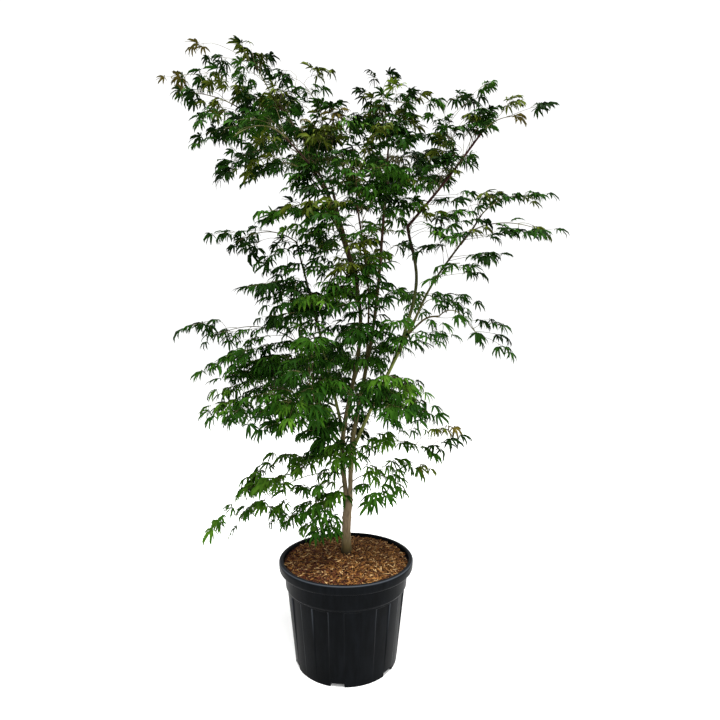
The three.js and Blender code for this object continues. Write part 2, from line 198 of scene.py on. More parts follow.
# closed tubes round many paths at once: each point of a path carries a ring, radius times the cosine and sine
# of the ring's angle on two axes square to the path, and each end closes on a pole
def tubes(paths, radii, sides):
    tangent = unit(np.gradient(paths, axis=1))
    leastAxis = np.eye(3)[np.argmin(np.abs(unit(paths[:, -1] - paths[:, 0])), axis=1)][:, None]
    first = unit(np.cross(tangent, leastAxis))
    second = np.cross(tangent, first)
    turn = turnsOf(sides)
    ring = np.cos(turn)[:, None] * first[:, :, None] + np.sin(turn)[:, None] * second[:, :, None]
    wide = radii[..., None] if radii.ndim == 2 else radii
    blunt = 0.4
    lowPoles = paths[:, 0] - tangent[:, 0] * blunt * wide[:, 0, :1]
    highPoles = paths[:, -1] + tangent[:, -1] * blunt * wide[:, -1, :1]
    return closedRings(paths[:, :, None] + wide[..., None] * ring, lowPoles, highPoles)


# joins several (verts, quads, tris) into one
def joined(parts):
    offsets = np.cumsum([0] + [len(p[0]) for p in parts])
    verts = np.concatenate([p[0] for p in parts])
    quads = np.concatenate([p[1] + o for p, o in zip(parts, offsets)])
    tris = np.concatenate([p[2] + o for p, o in zip(parts, offsets)])
    return verts, quads, tris


# the length of a line, point to point
def lengthOf(line):
    return np.linalg.norm(np.diff(line, axis=0), axis=1).sum()


# a smooth line through points, as even steps: a cubic between each two points whose end slopes are those of
# the centripetal Catmull-Rom spline, then read off at equal lengths
def lineThrough(points, steps=120, fine=40):
    p = np.array(points, float)
    p = np.vstack([2 * p[0] - p[1], p, 2 * p[-1] - p[-2]])
    gap = np.sqrt(np.linalg.norm(np.diff(p, axis=0), axis=1))[:, None]
    slope = np.diff(p, axis=0) / gap
    across = (p[2:] - p[:-2]) / (gap[1:] + gap[:-1])
    pull = slope[:-1] - across + slope[1:]
    span = gap[1:-1]
    t = np.linspace(0, 1, fine)[:, None, None]
    a, b = p[1:-2], p[2:-1]
    m, n = pull[:-1] * span, pull[1:] * span
    dense = ((2 * t**3 - 3 * t**2 + 1) * a + (t**3 - 2 * t**2 + t) * m + (3 * t**2 - 2 * t**3) * b
             + (t**3 - t**2) * n)
    return evenly(np.swapaxes(dense, 0, 1).reshape(-1, 3), steps)


# a line read off at equal lengths
def evenly(line, steps):
    length = np.concatenate([[0], np.cumsum(np.linalg.norm(np.diff(line, axis=0), axis=1))])
    at = np.linspace(0, length[-1], steps)
    return np.stack([np.interp(at, length, line[:, i]) for i in range(3)], axis=1)


# the point of a line at a share, or at shares, of its length
def pointAt(line, share):
    at = np.linspace(0, 1, len(line))
    return np.stack([np.interp(share, at, line[:, i]) for i in range(3)], axis=-1)


# the direction of a line at a share, or at shares, of its length
def headingAt(line, share):
    step = 1 / len(line)
    return unit(pointAt(line, np.minimum(share + step, 1)) - pointAt(line, np.maximum(share - step, 0)))


# an arch: a quadratic curve from start to end whose middle point stands `rise` above the straight line
def arch(start, end, rise, steps, kneeAt=0.45):
    knee = start + (end - start) * kneeAt + 2 * rise * up
    t = np.linspace(0, 1, steps)[:, None]
    return (1 - t)**2 * start + 2 * t * (1 - t) * knee + t**2 * end


# smooth unevenness between -1 and 1: a sum of sines of two parameters, at rates from 1 to 4 in the first and 0.5
# to 4 in the second and at turns, all taken from a seed
def unevenness(u, v, seed, waves):
    rng = np.random.default_rng(seed)
    total = np.zeros(np.broadcast(u, v).shape)
    for _ in range(waves):
        a, b = rng.integers(1, 5), rng.uniform(0.5, 4.0)
        total += np.sin(a * u + b * v + rng.uniform(0, 2 * np.pi)) / waves
    return total


# Container

# lengths in millimetres and turns in degrees; wallRows and endRows give the first and last height and the count
# of the rows up the wall, and the shares are how far the painted highlights pale the plastic
pot = {
    "height": 375, "baseRadius": 192, "bodyTopRadius": 225, "bodyTop": 275, "collarRadius": 235, "collarStep": 4,
    "stepHeight": 7, "lipRadius": 257, "lipDepth": 36, "lipRound": 9, "lipInset": 14, "lipBevel": 4, "lipDraft": 2,
    "baseBevel": 3, "bodyRound": 2, "round": 3, "arcRows": 6, "sideShare": 0.49, "wall": 4, "floor": 8,
    "innerDrop": 8, "hub": 0.1, "columns": 720, "wallRows": (30, 261, 9), "endRows": (265, 271, 6),
    "flutes": 12, "fluteFrom": 0, "fluteTo": 15, "fluteDepth": 5, "fluteTop": 271, "fluteEnd": 5, "edgeWidth": 1.8,
    "notches": 6, "notchTurn": -7.5, "notchWidth": 48, "notchDepth": 30, "notchHeight": 14, "notchStep": 2,
    "notchEdge": 1, "highlightWidth": 1.6, "highlightFrom": 100, "highlightFront": 7.5, "highlightTurns": (5, 35), "highlightShare": 0.24,
    "rimLine": 373.5, "rimWidth": 1.2, "rimHighlightShare": 0.34,
}


# injection-moulded polypropylene: near black with a soft satin shine and faint grain, and painted highlights as
# pale lines along the lip and the edges of the panels
def pottingPlastic():
    material, shader = startMaterial("moulded_polypropylene", {"IOR": 1.49, "Specular IOR Level": 0.018})
    place = (addNode(material, "TexCoord", {}), "Object")
    dust = addNode(material, "TexNoise", {"Vector": place, "Scale": 1000 / 90, "Detail": 6.0, "Roughness": 0.65})
    streak = addNode(material, "Mapping", {"Vector": place, "Scale": (1.0, 1.0, 0.12)})
    scuff = addNode(material, "TexNoise", {"Vector": (streak, "Vector"), "Scale": 1000 / 14, "Detail": 4.0})
    both = addNode(material, "Math", {0: (dust, "Fac"), 1: (scuff, "Fac")}, operation="MULTIPLY")
    shade = addNode(material, "ValToRGB", {"Fac": (both, "Value")}, [(0.15, "#040506"), (0.55, "#0b0d10")])
    gloss = addNode(material, "MapRange", {"Value": (scuff, "Fac"), "To Min": 0.26, "To Max": 0.42})
    grain = addNode(material, "TexNoise", {"Vector": place, "Scale": 1000 / 2.5, "Detail": 2.0})
    relief = addNode(material, "Bump", {"Height": (grain, "Fac"), "Strength": 0.12, "Distance": 0.0006})
    # painted highlight: an attribute pales the colour along the panel edges and the lip's outer edge
    painted_highlight = addNode(material, "Attribute", {}, attribute_name="painted_highlight")
    highlighted = addNode(material, "MixRGB", {"Fac": (painted_highlight, "Fac"), "Color1": (shade, "Color"),
                                          "Color2": tint("#60666e")})
    setInputs(material, shader, {"Base Color": (highlighted, "Color"), "Roughness": (gloss, "Result"),
                                 "Normal": (relief, "Normal")})
    return material


# a polyline of radius and height whose corners are rounded: each corner is a quadratic arc that starts and ends
# the corner's own size away from it, and a corner of no size stays one point
def roundedProfile(corners):
    rows = [np.array([corners[0][:2]], float)]
    t = np.linspace(0, 1, pot["arcRows"])[:, None]
    for before, (r, z, size), after in zip(corners, corners[1:-1], corners[2:]):
        here = np.array([r, z], float)
        sides = [np.array(end[:2], float) - here for end in (before, after)]
        near, far = (here + side * min(pot["sideShare"], size / np.linalg.norm(side)) for side in sides)
        rows.append((1 - t)**2 * near + 2 * t * (1 - t) * here + t**2 * far if size else here[None])
    rows.append(np.array([corners[-1][:2]], float))
    return np.concatenate(rows)


# the pot: a profile of radius and height turned about Z. Between the panels the wall is set in by the flute depth,
# which grows from the base up and ends below the collar, and the foot is lifted over each drain notch. Its painted
# highlight is a bell curve of the distance from a panel's edge, stronger with height, to light the band in the lip's
# shadow, and away from the front, and one of the height from the lip's line.
def buildPot():
    p = pot
    base, body, collar, lip = (p[key] for key in ("baseRadius", "bodyTopRadius", "collarRadius", "lipRadius"))
    top, bodyTop, fluteTop, notchTop = (p[key] for key in ("height", "bodyTop", "fluteTop", "notchHeight"))
    wall, soft, draft = p["wall"], p["round"], p["lipDraft"]
    lipFoot, stepTop, step = top - p["lipDepth"], bodyTop + p["stepHeight"], collar - p["collarStep"]
    notchRoot, inset = base - p["notchDepth"], p["fluteDepth"] + wall
    lean = (body - base) / bodyTop
    wallHeights = [notchTop, notchTop + p["notchEdge"], *np.linspace(*p["wallRows"]), *np.linspace(*p["endRows"])]
    profile = roundedProfile([
        (p["hub"], 0), (notchRoot, 0, 0), (notchRoot + p["notchStep"], 0, 0), (base, 0, p["baseBevel"]),
        *((base + lean * z, z, 0) for z in wallHeights),
        (body, bodyTop, p["bodyRound"]), (step, stepTop, soft), (collar, lipFoot, soft),
        (lip - draft, lipFoot + draft, p["lipRound"]), (lip, top, p["lipRound"]),
        (lip - p["lipInset"] - draft, top, p["lipBevel"]), (collar - wall, lipFoot, soft), (step - wall, stepTop, 0),
        (body - inset, bodyTop - p["innerDrop"], 0), (base - inset, p["floor"], soft), (p["hub"], p["floor"]),
    ])
    r, z = profile[:, :1], profile[:, 1:]
    outside = np.arange(len(profile))[:, None] < np.argmax(profile[:, 1])
    turn = turnsOf(p["columns"])[None]
    flutePitch = 2 * np.pi / p["flutes"]
    inCell = np.mod(turn, flutePitch) / flutePitch
    edge = p["edgeWidth"] / (base * flutePitch)
    first, last = (np.radians(p[end]) / flutePitch for end in ("fluteFrom", "fluteTo"))
    recess = ease(inCell, first - edge, first + edge) * (1 - ease(inCell, last - edge, last + edge))
    depth = p["fluteDepth"] * np.clip(z / bodyTop, 0, 1) * (1 - ease(z, fluteTop - p["fluteEnd"], fluteTop))
    radius = r - recess * np.where(outside & (r > notchRoot + p["notchStep"]), depth, 0)
    fromNotch = wrapped(turn - np.radians(p["notchTurn"]), 2 * np.pi / p["notches"])
    inNotch = np.abs(fromNotch) * base < p["notchWidth"] / 2
    lifted = inNotch & outside & (r > notchRoot + p["notchStep"] / 2)
    height = np.where(lifted, np.maximum(z, notchTop), z)
    rings = closedRings(roundAxis(radius, turn, height)[None], [[0, 0, 0]], [[0, 0, p["floor"]]])
    piece = meshPiece("fluted_pot", *rings, pottingPlastic())
    fromFirst = np.abs(wrapped(inCell - first + edge, 1))
    fromEdge = np.minimum(fromFirst, np.abs(inCell - last - edge)) * flutePitch * r
    fromFront = np.abs(wrapped(turn - np.radians(p["highlightFront"]), 2 * np.pi))
    # painted highlight along each panel edge, strongest high up where the lip's shadow falls and weaker towards the
    # front
    highlit = np.exp(-(fromEdge / p["highlightWidth"])**2) * (outside & (z < fluteTop)) * ease(z, p["highlightFrom"], fluteTop)**2
    highlit = highlit * ease(fromFront, *np.radians(p["highlightTurns"])) * p["highlightShare"]
    # painted highlight: a thin pale line along the lip's outer edge in place of the shine on its rounded corner
    highlit = highlit + np.exp(-((z - p["rimLine"]) / p["rimWidth"])**2) * outside * p["rimHighlightShare"]
    painted_highlight = piece.data.attributes.new("painted_highlight", "FLOAT", "POINT")
    painted_highlight.data.foreach_set("value", np.concatenate([highlit.ravel(), [0, 0]]).astype(np.float32))
    dress(piece, "pot", "pot")
    print("pot", len(profile), "rows of", p["columns"])


# Mulch

mulch = {
    "edgeRadius": 236, "edgeHeight": 362, "shoulder": 0.62, "shoulderRise": 10, "seatHeight": 383, "seatRadius": 62,
    "hub": 0.5, "columns": 160, "rows": 44, "rough": 3.5, "lumps": 3, "lumpLength": 18, "waves": 9, "seed": 7,
    "skirt": (0.92, 0.92, 0), "skirtDepth": 25, "under": (0.02, 0.02, 1),
    "chips": 5200, "edgeGap": 6, "trunkGap": 22, "lie": (-3, 4), "pitch": 0.28, "roll": 0.5, "bow": (-0.12, 0.22),
    "length": (9, 30), "width": (1.8, 5.0), "thickness": (0.8, 1.8), "stations": (-0.5, 0.0, 0.5),
    "girths": (0.55, 1.0, 0.5), "leftSlant": 0.4, "leftSide": (-20, 130), "redShare": 0.12, "redOnLeft": 0.42,
    "toneSteps": (0.62, 0.9),
}

# the chips' dark and pale tints, in the order in which a draw between 0 and 1 picks them
chipTones = {"red": ("#2a1308", "#5a2d15"), "brown": ("#38200c", "#69431f"), "golden": ("#664019", "#986b36"),
             "pale": ("#9b7648", "#c9aa78")}


# shredded conifer bark: dry fibres, dull, each with darker and paler streaks along it
def barkFibre(name, dark, pale):
    return mottled(name, {"Roughness": 0.9, "Specular IOR Level": 0.2},
                   {"Scale": 1000 / 12, "Detail": 5.0, "Roughness": 0.7}, [(0.32, dark), (0.68, pale)],
                   {"Scale": 1000 / 3, "Detail": 3.0}, {"Strength": 0.5, "Distance": 0.001})


# height of the mulch at a radius: level under the trunk, then straight falls to the shoulder and to the edge
def mulchHeight(radius):
    m = mulch
    return np.interp(radius, [0, m["seatRadius"], m["shoulder"] * m["edgeRadius"], m["edgeRadius"]],
                     [m["seatHeight"], m["seatHeight"], m["edgeHeight"] + m["shoulderRise"], m["edgeHeight"]])


# the mound: rings whose height follows the mulch's section plus unevenness, closed by a skirt and a flat underside
def buildMound():
    m = mulch
    turn = turnsOf(m["columns"])[None]
    radius = np.linspace(m["edgeRadius"], m["hub"], m["rows"])[:, None] + 0 * turn
    lumps = unevenness(turn * m["lumps"], radius / m["lumpLength"], m["seed"], m["waves"])
    top = roundAxis(radius, turn, mulchHeight(radius) + m["rough"] * lumps - m["rough"])
    skirt = top[:1] * m["skirt"] + [0, 0, m["edgeHeight"] - m["skirtDepth"]]
    under = skirt * m["under"]
    rings = closedRings(np.concatenate([under, skirt, top])[None], under.mean(axis=1), top[-1:].mean(axis=1))
    # the mound's near-black colour is partly the damp bark's own and partly painted shade for the gaps between the
    # chips and by the rim
    dress(meshPiece("mulch_mound", *rings, barkFibre("damp_and_shaded_bark", "#120904", "#331b0b")), "mulch", "bark_mulch")
    print("mound", m["rows"], "rows of", m["columns"])


# the chips: bowed splinters of three four-cornered rings, thinner at their ends, strewn over the mound at random and
# joined by tone; red ones are more common on the left
def buildChips():
    m = mulch
    rng = np.random.default_rng(m["seed"])
    radius = (m["edgeRadius"] - m["edgeGap"]) * np.sqrt(rng.uniform(0, 1, m["chips"]))
    turn = rng.uniform(0, 2 * np.pi, m["chips"])
    clear = radius > m["trunkGap"]
    radius, turn = radius[clear], turn[clear]
    n = len(radius)
    centre = roundAxis(radius, turn, mulchHeight(radius) + rng.uniform(*m["lie"], n))
    yaw, pitch, roll = rng.uniform(0, 2 * np.pi, n), rng.normal(0, m["pitch"], n), rng.normal(0, m["roll"], n)
    along = np.stack([np.cos(yaw) * np.cos(pitch), np.sin(yaw) * np.cos(pitch), np.sin(pitch)], axis=-1)
    flat = unit(np.cross(up, along))
    rise = np.cross(along, flat)
    side = flat * np.cos(roll)[:, None] + rise * np.sin(roll)[:, None]
    face = np.cross(along, side)
    length = rng.uniform(*m["length"], n)
    width = rng.uniform(*m["width"], n)
    thick = rng.uniform(*m["thickness"], n)
    bow = rng.uniform(*m["bow"], n) * length
    station, girth = np.array(m["stations"]), np.array(m["girths"])
    corner = np.array([[-0.5, -0.5], [0.5, -0.5], [0.5, 0.5], [-0.5, 0.5]])
    spine = (centre[:, None] + along[:, None] * (station * length[:, None])[..., None]
             - face[:, None] * ((2 * station)**2 * bow[:, None])[..., None])
    offset = (side[:, None] * (width[:, None] * corner[:, 0])[..., None]
              + face[:, None] * (thick[:, None] * corner[:, 1])[..., None])
    verts = spine[:, :, None] + offset[:, None] * girth[None, :, None, None]
    leftness = ease(-centre[:, 0] - m["leftSlant"] * centre[:, 1], *m["leftSide"])
    draw = rng.uniform(0, 1, n)
    steps = (m["redShare"] + m["redOnLeft"] * leftness, *m["toneSteps"])
    tone = sum((draw >= step).astype(int) for step in steps)
    rings, sides = len(station), len(corner)
    caps = np.array([[3, 2, 1, 0], [8, 9, 10, 11]])
    for k, (name, tints) in enumerate(chipTones.items()):
        mine = verts[tone == k]
        start = (np.arange(len(mine)) * rings * sides)[:, None, None]
        quads = np.concatenate([ringQuads(len(mine), rings, sides), (caps + start).reshape(-1, 4)])
        piece = meshPiece(name + "_chips", mine.reshape(-1, 3), quads, [], barkFibre(name + "_fibre", *tints))
        dress(piece, "mulch", "bark_mulch")
    print("mulch", n, "chips")


# Wood

trunk = {"foot": (0, 20, 385), "via": [(0, 17, 480)], "tip": (7, 10, 585), "footRadius": 24, "cutOff": 8,
         "flareHeight": 24, "radius": 16.5, "tipRadius": 17.5, "tipPower": 4}
boughGirth = (8, 6)
sunk = 2  # how far a limb or stem starts inside the one that carries it

# limb: (parent, share of the parent's length, points it passes, tip, diameters at both ends, place beside a fork)
limbs = {
    "leader_left": ("trunk", 1, [(-16, 28, 800), (55, 10, 1290)], (-55, 0, 1800), (19, 9), (-7, 3, 0)),
    "leader_centre": ("trunk", 1, [(22, -8, 790), (112, 20, 1310)], (165, 20, 1965), (18, 7), (8, -3, 0)),
    "limb_right": ("leader_centre", 0.14, [(120, -22, 995)], (255, -20, 1265), (14, 10)),
    "limb_right_upper": ("limb_right", 1, [(330, -20, 1420)], (475, -30, 1625), (9, 6)),
    "red_limb_lower": ("limb_right", 0.8, [(275, 12, 1445)], (240, 20, 1660), (12, 10)),
    "red_limb_upper": ("red_limb_lower", 1, [(390, 30, 1840)], (545, 40, 2050), (10, 7)),
    "limb_left": ("leader_left", 0.17, [(-90, 0, 885)], (-175, -40, 980), (14, 8)),
    "limb_left_upper": ("leader_left", 0.21, [(-110, 40, 1250)], (-200, 20, 1600), (12, 6)),
}

# bough, a thin limb that carries foliage: (parent, share of the parent's length, point it passes, tip)
boughs = {
    "far_left": ("leader_left", 0.93, (-215, -10, 1975), (-395, -10, 2100)),
    "crest": ("leader_left", 0.88, (-175, 45, 2020), (-290, 60, 2180)),
    "upper_front": ("leader_left", 0.8, (-110, -70, 1830), (-215, -150, 1930)),
    "upper_back": ("leader_left", 0.76, (-110, 90, 1890), (-215, 170, 2020)),
    "upper_low": ("leader_left", 0.7, (-75, -35, 1745), (-155, -65, 1845)),
    "shelf": ("leader_left", 0.62, (-5, -45, 1570), (-60, -60, 1680)),
    "middle_back": ("leader_left", 0.56, (40, 90, 1480), (20, 170, 1560)),
    "top_back": ("leader_centre", 0.76, (165, 105, 1850), (205, 160, 1960)),
    "centre_front": ("leader_centre", 0.38, (85, -35, 1400), (40, -100, 1720)),
    "red_inner": ("red_limb_upper", 0.45, (420, 70, 1900), (445, 90, 1980)),
    "right_upper": ("limb_right_upper", 0.86, (490, -15, 1640), (525, -15, 1695)),
    "right_back": ("limb_right", 0.6, (215, 80, 1190), (300, 190, 1330)),
    "right_droop": ("limb_right", 0.93, (310, -30, 1292), (360, -25, 1300)),
    "left_middle": ("limb_left_upper", 0.6, (-155, 5, 1365), (-190, -45, 1400)),
    "left_far": ("limb_left_upper", 0.25, (-115, 55, 1110), (-190, 60, 1195)),
    "left_front": ("limb_left", 0.45, (-85, -70, 935), (-100, -120, 1000)),
    "left_back": ("limb_left_upper", 0.14, (-95, 95, 970), (-160, 160, 1050)),
    "centre_back": ("leader_left", 0.34, (38, 100, 1070), (55, 180, 1110)),
    "right_low": ("limb_right", 0.35, (112, -45, 965), (150, -75, 985)),
}
limbs |= {"bough_" + name: (parent, at, [via], tip, boughGirth) for name, (parent, at, via, tip) in boughs.items()}

bark = {
    "rowLength": 7, "fewestRows": 12, "sides": 20, "nodeSpacing": 95, "nodeShift": 31, "nodeSwell": 0.1,
    "nodeLength": 5, "rough": 0.05, "roughLength": 22, "waves": 7, "forkSwell": 0.45, "forkLength": 16,
    "youngAt": 2.4,
}

# bark by kind: its piece, its slot, how thick it lies on the wood and its colours by height in metres
barks = {
    "grey": ("trunk_bark", "bark", 0.6, [
        (0.385, "#2b2213"), (0.402, "#453b20"), (0.43, "#5f533a"), (0.5, "#6b5d4a"), (0.75, "#645a3e"),
        (1.1, "#474324"), (1.6, "#2c1c12")]),
    "olive": ("limb_bark", "bark", 0.4, [
        (0.6, "#626236"), (1.15, "#5e6830"), (1.3, "#3a3d1a"), (1.55, "#221d0e")]),
    "red": ("red_limb_bark", "red_bark", 0.6, [
        (1.1, "#4c5624"), (1.4, "#2b3013"), (1.6, "#1e160d"), (1.72, "#26100e")]),
    "dark": ("bough_bark", "bark", 0.2, [(0.8, "#4c4a28"), (1.2, "#3c371c"), (1.7, "#271810")]),
}

# the kind of bark by the first word of a limb's name; the trunk and its stems are grey
barkOf = {"limb": "olive", "red": "red", "bough": "dark"}


# where a limb or stem leaves the line that carries it: sunk a little where it grows on from the line's end
def placeOn(line, at, beside=(0, 0, 0)):
    start = pointAt(line, at) + np.array(beside, float)
    return start - sunk * headingAt(line, 1) if at == 1 else start


# every limb's centre line, from its place on the parent through its points to its tip
def layOutLimbs():
    foot = np.array(trunk["foot"], float) - trunk["cutOff"] * up
    lines = {"trunk": lineThrough([foot, *trunk["via"], trunk["tip"]])}
    for name, (parent, at, via, tip, _, *beside) in limbs.items():
        lines[name] = lineThrough([placeOn(lines[parent], at, *beside), *via, tip])
    return lines


# radius along the trunk: a root flare that dies away with height and a slight swelling below the fork
def trunkRadius(share):
    above = share * (trunk["tip"][2] - trunk["foot"][2])
    flare = (trunk["footRadius"] - trunk["radius"]) * np.exp(-above / trunk["flareHeight"])
    return trunk["radius"] + flare + (trunk["tipRadius"] - trunk["radius"]) * share**trunk["tipPower"]


# young maple bark: smooth and dull; its colour goes with height from old wood to young shoots, and is mottled dark
# and pale along the limb, over fine cracks
def youngBark(name, stops):
    material, shader = startMaterial(name, {"Roughness": 0.78, "Specular IOR Level": 0.1})
    place = (addNode(material, "TexCoord", {}), "Object")
    height = addNode(material, "SeparateXYZ", {"Vector": place})
    age = addNode(material, "MapRange", {"Value": (height, "Z"), "From Max": bark["youngAt"]})
    shade = addNode(material, "ValToRGB", {"Fac": (age, "Result")}, [(at / bark["youngAt"], c) for at, c in stops])
    long = addNode(material, "Mapping", {"Vector": place, "Scale": (1.0, 1.0, 0.22)})
    mottle = addNode(material, "TexNoise", {"Vector": (long, "Vector"), "Scale": 1000 / 16, "Detail": 6.0,
                                            "Roughness": 0.68})
    depth = addNode(material, "MapRange", {"Value": (mottle, "Fac"), "From Min": 0.3, "From Max": 0.7,
                                           "To Min": 0.5, "To Max": 1.4})
    blend = addNode(material, "MixRGB", {"Fac": 1.0, "Color1": (shade, "Color"), "Color2": (depth, "Result")},
                    blend_type="MULTIPLY")
    crack = addNode(material, "TexNoise", {"Vector": (long, "Vector"), "Scale": 1000 / 5, "Detail": 4.0})
    relief = addNode(material, "Bump", {"Height": (crack, "Fac"), "Strength": 0.45, "Distance": 0.0015})
    setInputs(material, shader, {"Base Color": (blend, "Color"), "Normal": (relief, "Normal")})
    return material


# a limb with bark relief: a tube whose radius is its taper, swollen where it leaves its parent and at each leaf
# scar ring, and roughened by unevenness round and along it
def limbTube(line, radiusAt, coat, seed, swell):
    length = lengthOf(line)
    rows = max(bark["fewestRows"], int(length / bark["rowLength"]))
    share = np.linspace(0, 1, rows)
    along = share * length
    fromNode = np.abs(np.mod(along + bark["nodeShift"] * seed, bark["nodeSpacing"]) - bark["nodeSpacing"] / 2)
    rings = bark["nodeSwell"] * np.exp(-(fromNode / bark["nodeLength"])**2)
    fork = swell * bark["forkSwell"] * np.exp(-along / bark["forkLength"])
    turn = turnsOf(bark["sides"])
    rough = bark["rough"] * unevenness(turn[None], along[:, None] / bark["roughLength"], seed, bark["waves"])
    radii = (radiusAt(share) + coat)[:, None] * (1 + rings[:, None] + fork[:, None] + rough)
    return tubes(evenly(line, rows)[None], radii[None], bark["sides"])


# the trunk, limbs and boughs, joined by bark; a limb tapers evenly, and those that leave a parent's side swell there
def buildWood(lines):
    grown = {kind: {} for kind in barks}
    for seed, (name, line) in enumerate(lines.items()):
        kind = barkOf.get(name.split("_")[0], "grey")
        radiusAt, swell = trunkRadius, 0
        if name in limbs:
            (thick, thin), *beside = limbs[name][4:]
            radiusAt = lambda share: thick / 2 + (thin / 2 - thick / 2) * share
            swell = not beside
        grown[kind][name] = limbTube(line, radiusAt, barks[kind][2], seed, swell)
    for kind, (pieceName, slot, _, stops) in barks.items():
        piece = meshPiece(pieceName, *joined(list(grown[kind].values())), youngBark(kind + "_maple_bark", stops))
        dress(piece, slot, *grown[kind])
    print("wood", len(lines), "limbs")


# Crown

# mass: (furthest point, rise of the stem's arch, limb and share of its length), on the tip of its own bough if no
# limb is given
masses = {
    "far_left": ((-730, -30, 2205), 20),
    "crest": ((-435, 60, 2450), 0),
    "upper_front": ((-460, -330, 1850), 40),
    "upper_back": ((-430, 450, 2110), 40),
    "upper_low": ((-460, -120, 1790), 40),
    "upper_inner": ((-120, -40, 2230), 0, "leader_left", 1),
    "top": ((136, -6, 2272), 0, "leader_centre", 1),
    "top_back": ((260, 460, 2080), 40),
    "centre_front": ((40, -400, 1770), 40),
    "red_tip": ((780, 0, 2140), 20, "red_limb_upper", 1),
    "red_inner": ((385, 160, 2220), 0),
    "right_upper": ((800, -40, 1800), 30),
    "right_middle": ((835, -110, 1615), 30, "limb_right_upper", 1),
    "right_back": ((500, 400, 1440), 40),
    "right_droop": ((595, -80, 1170), 50),
    "shelf": ((-375, -170, 1640), 40),
    "middle_back": ((-70, 480, 1640), 40),
    "left_middle": ((-545, 0, 1595), 40, "limb_left_upper", 1),
    "left_inner": ((-400, -150, 1400), 30, "bough_left_middle", 1),
    "left_far": ((-665, 60, 1230), 60),
    "left_front": ((-170, -430, 960), 50),
    "left_dense": ((-530, -60, 950), 60, "limb_left", 1),
    "left_back": ((-445, 400, 1090), 50),
    "centre_back": ((10, 520, 1140), 50),
    "right_low": ((345, -140, 1000), 40),
    "right_thin": ((420, -60, 820), 60, "leader_centre", 0.1),
    "low_right": ((310, -80, 660), 40, "leader_centre", 0.05),
    "low_left": ((-500, -90, 490), 60, "leader_left", 0.08),
    "low_front": ((-95, -190, 490), 40, "leader_left", 0.04),
}

# the masses behind, which the photograph doesn't show: half the width of their sprays and how many they have
backMasses = {"upper_back": (220, 10), "top_back": (220, 10), "right_back": (220, 5), "middle_back": (230, 6),
              "left_back": (210, 10), "centre_back": (220, 10)}

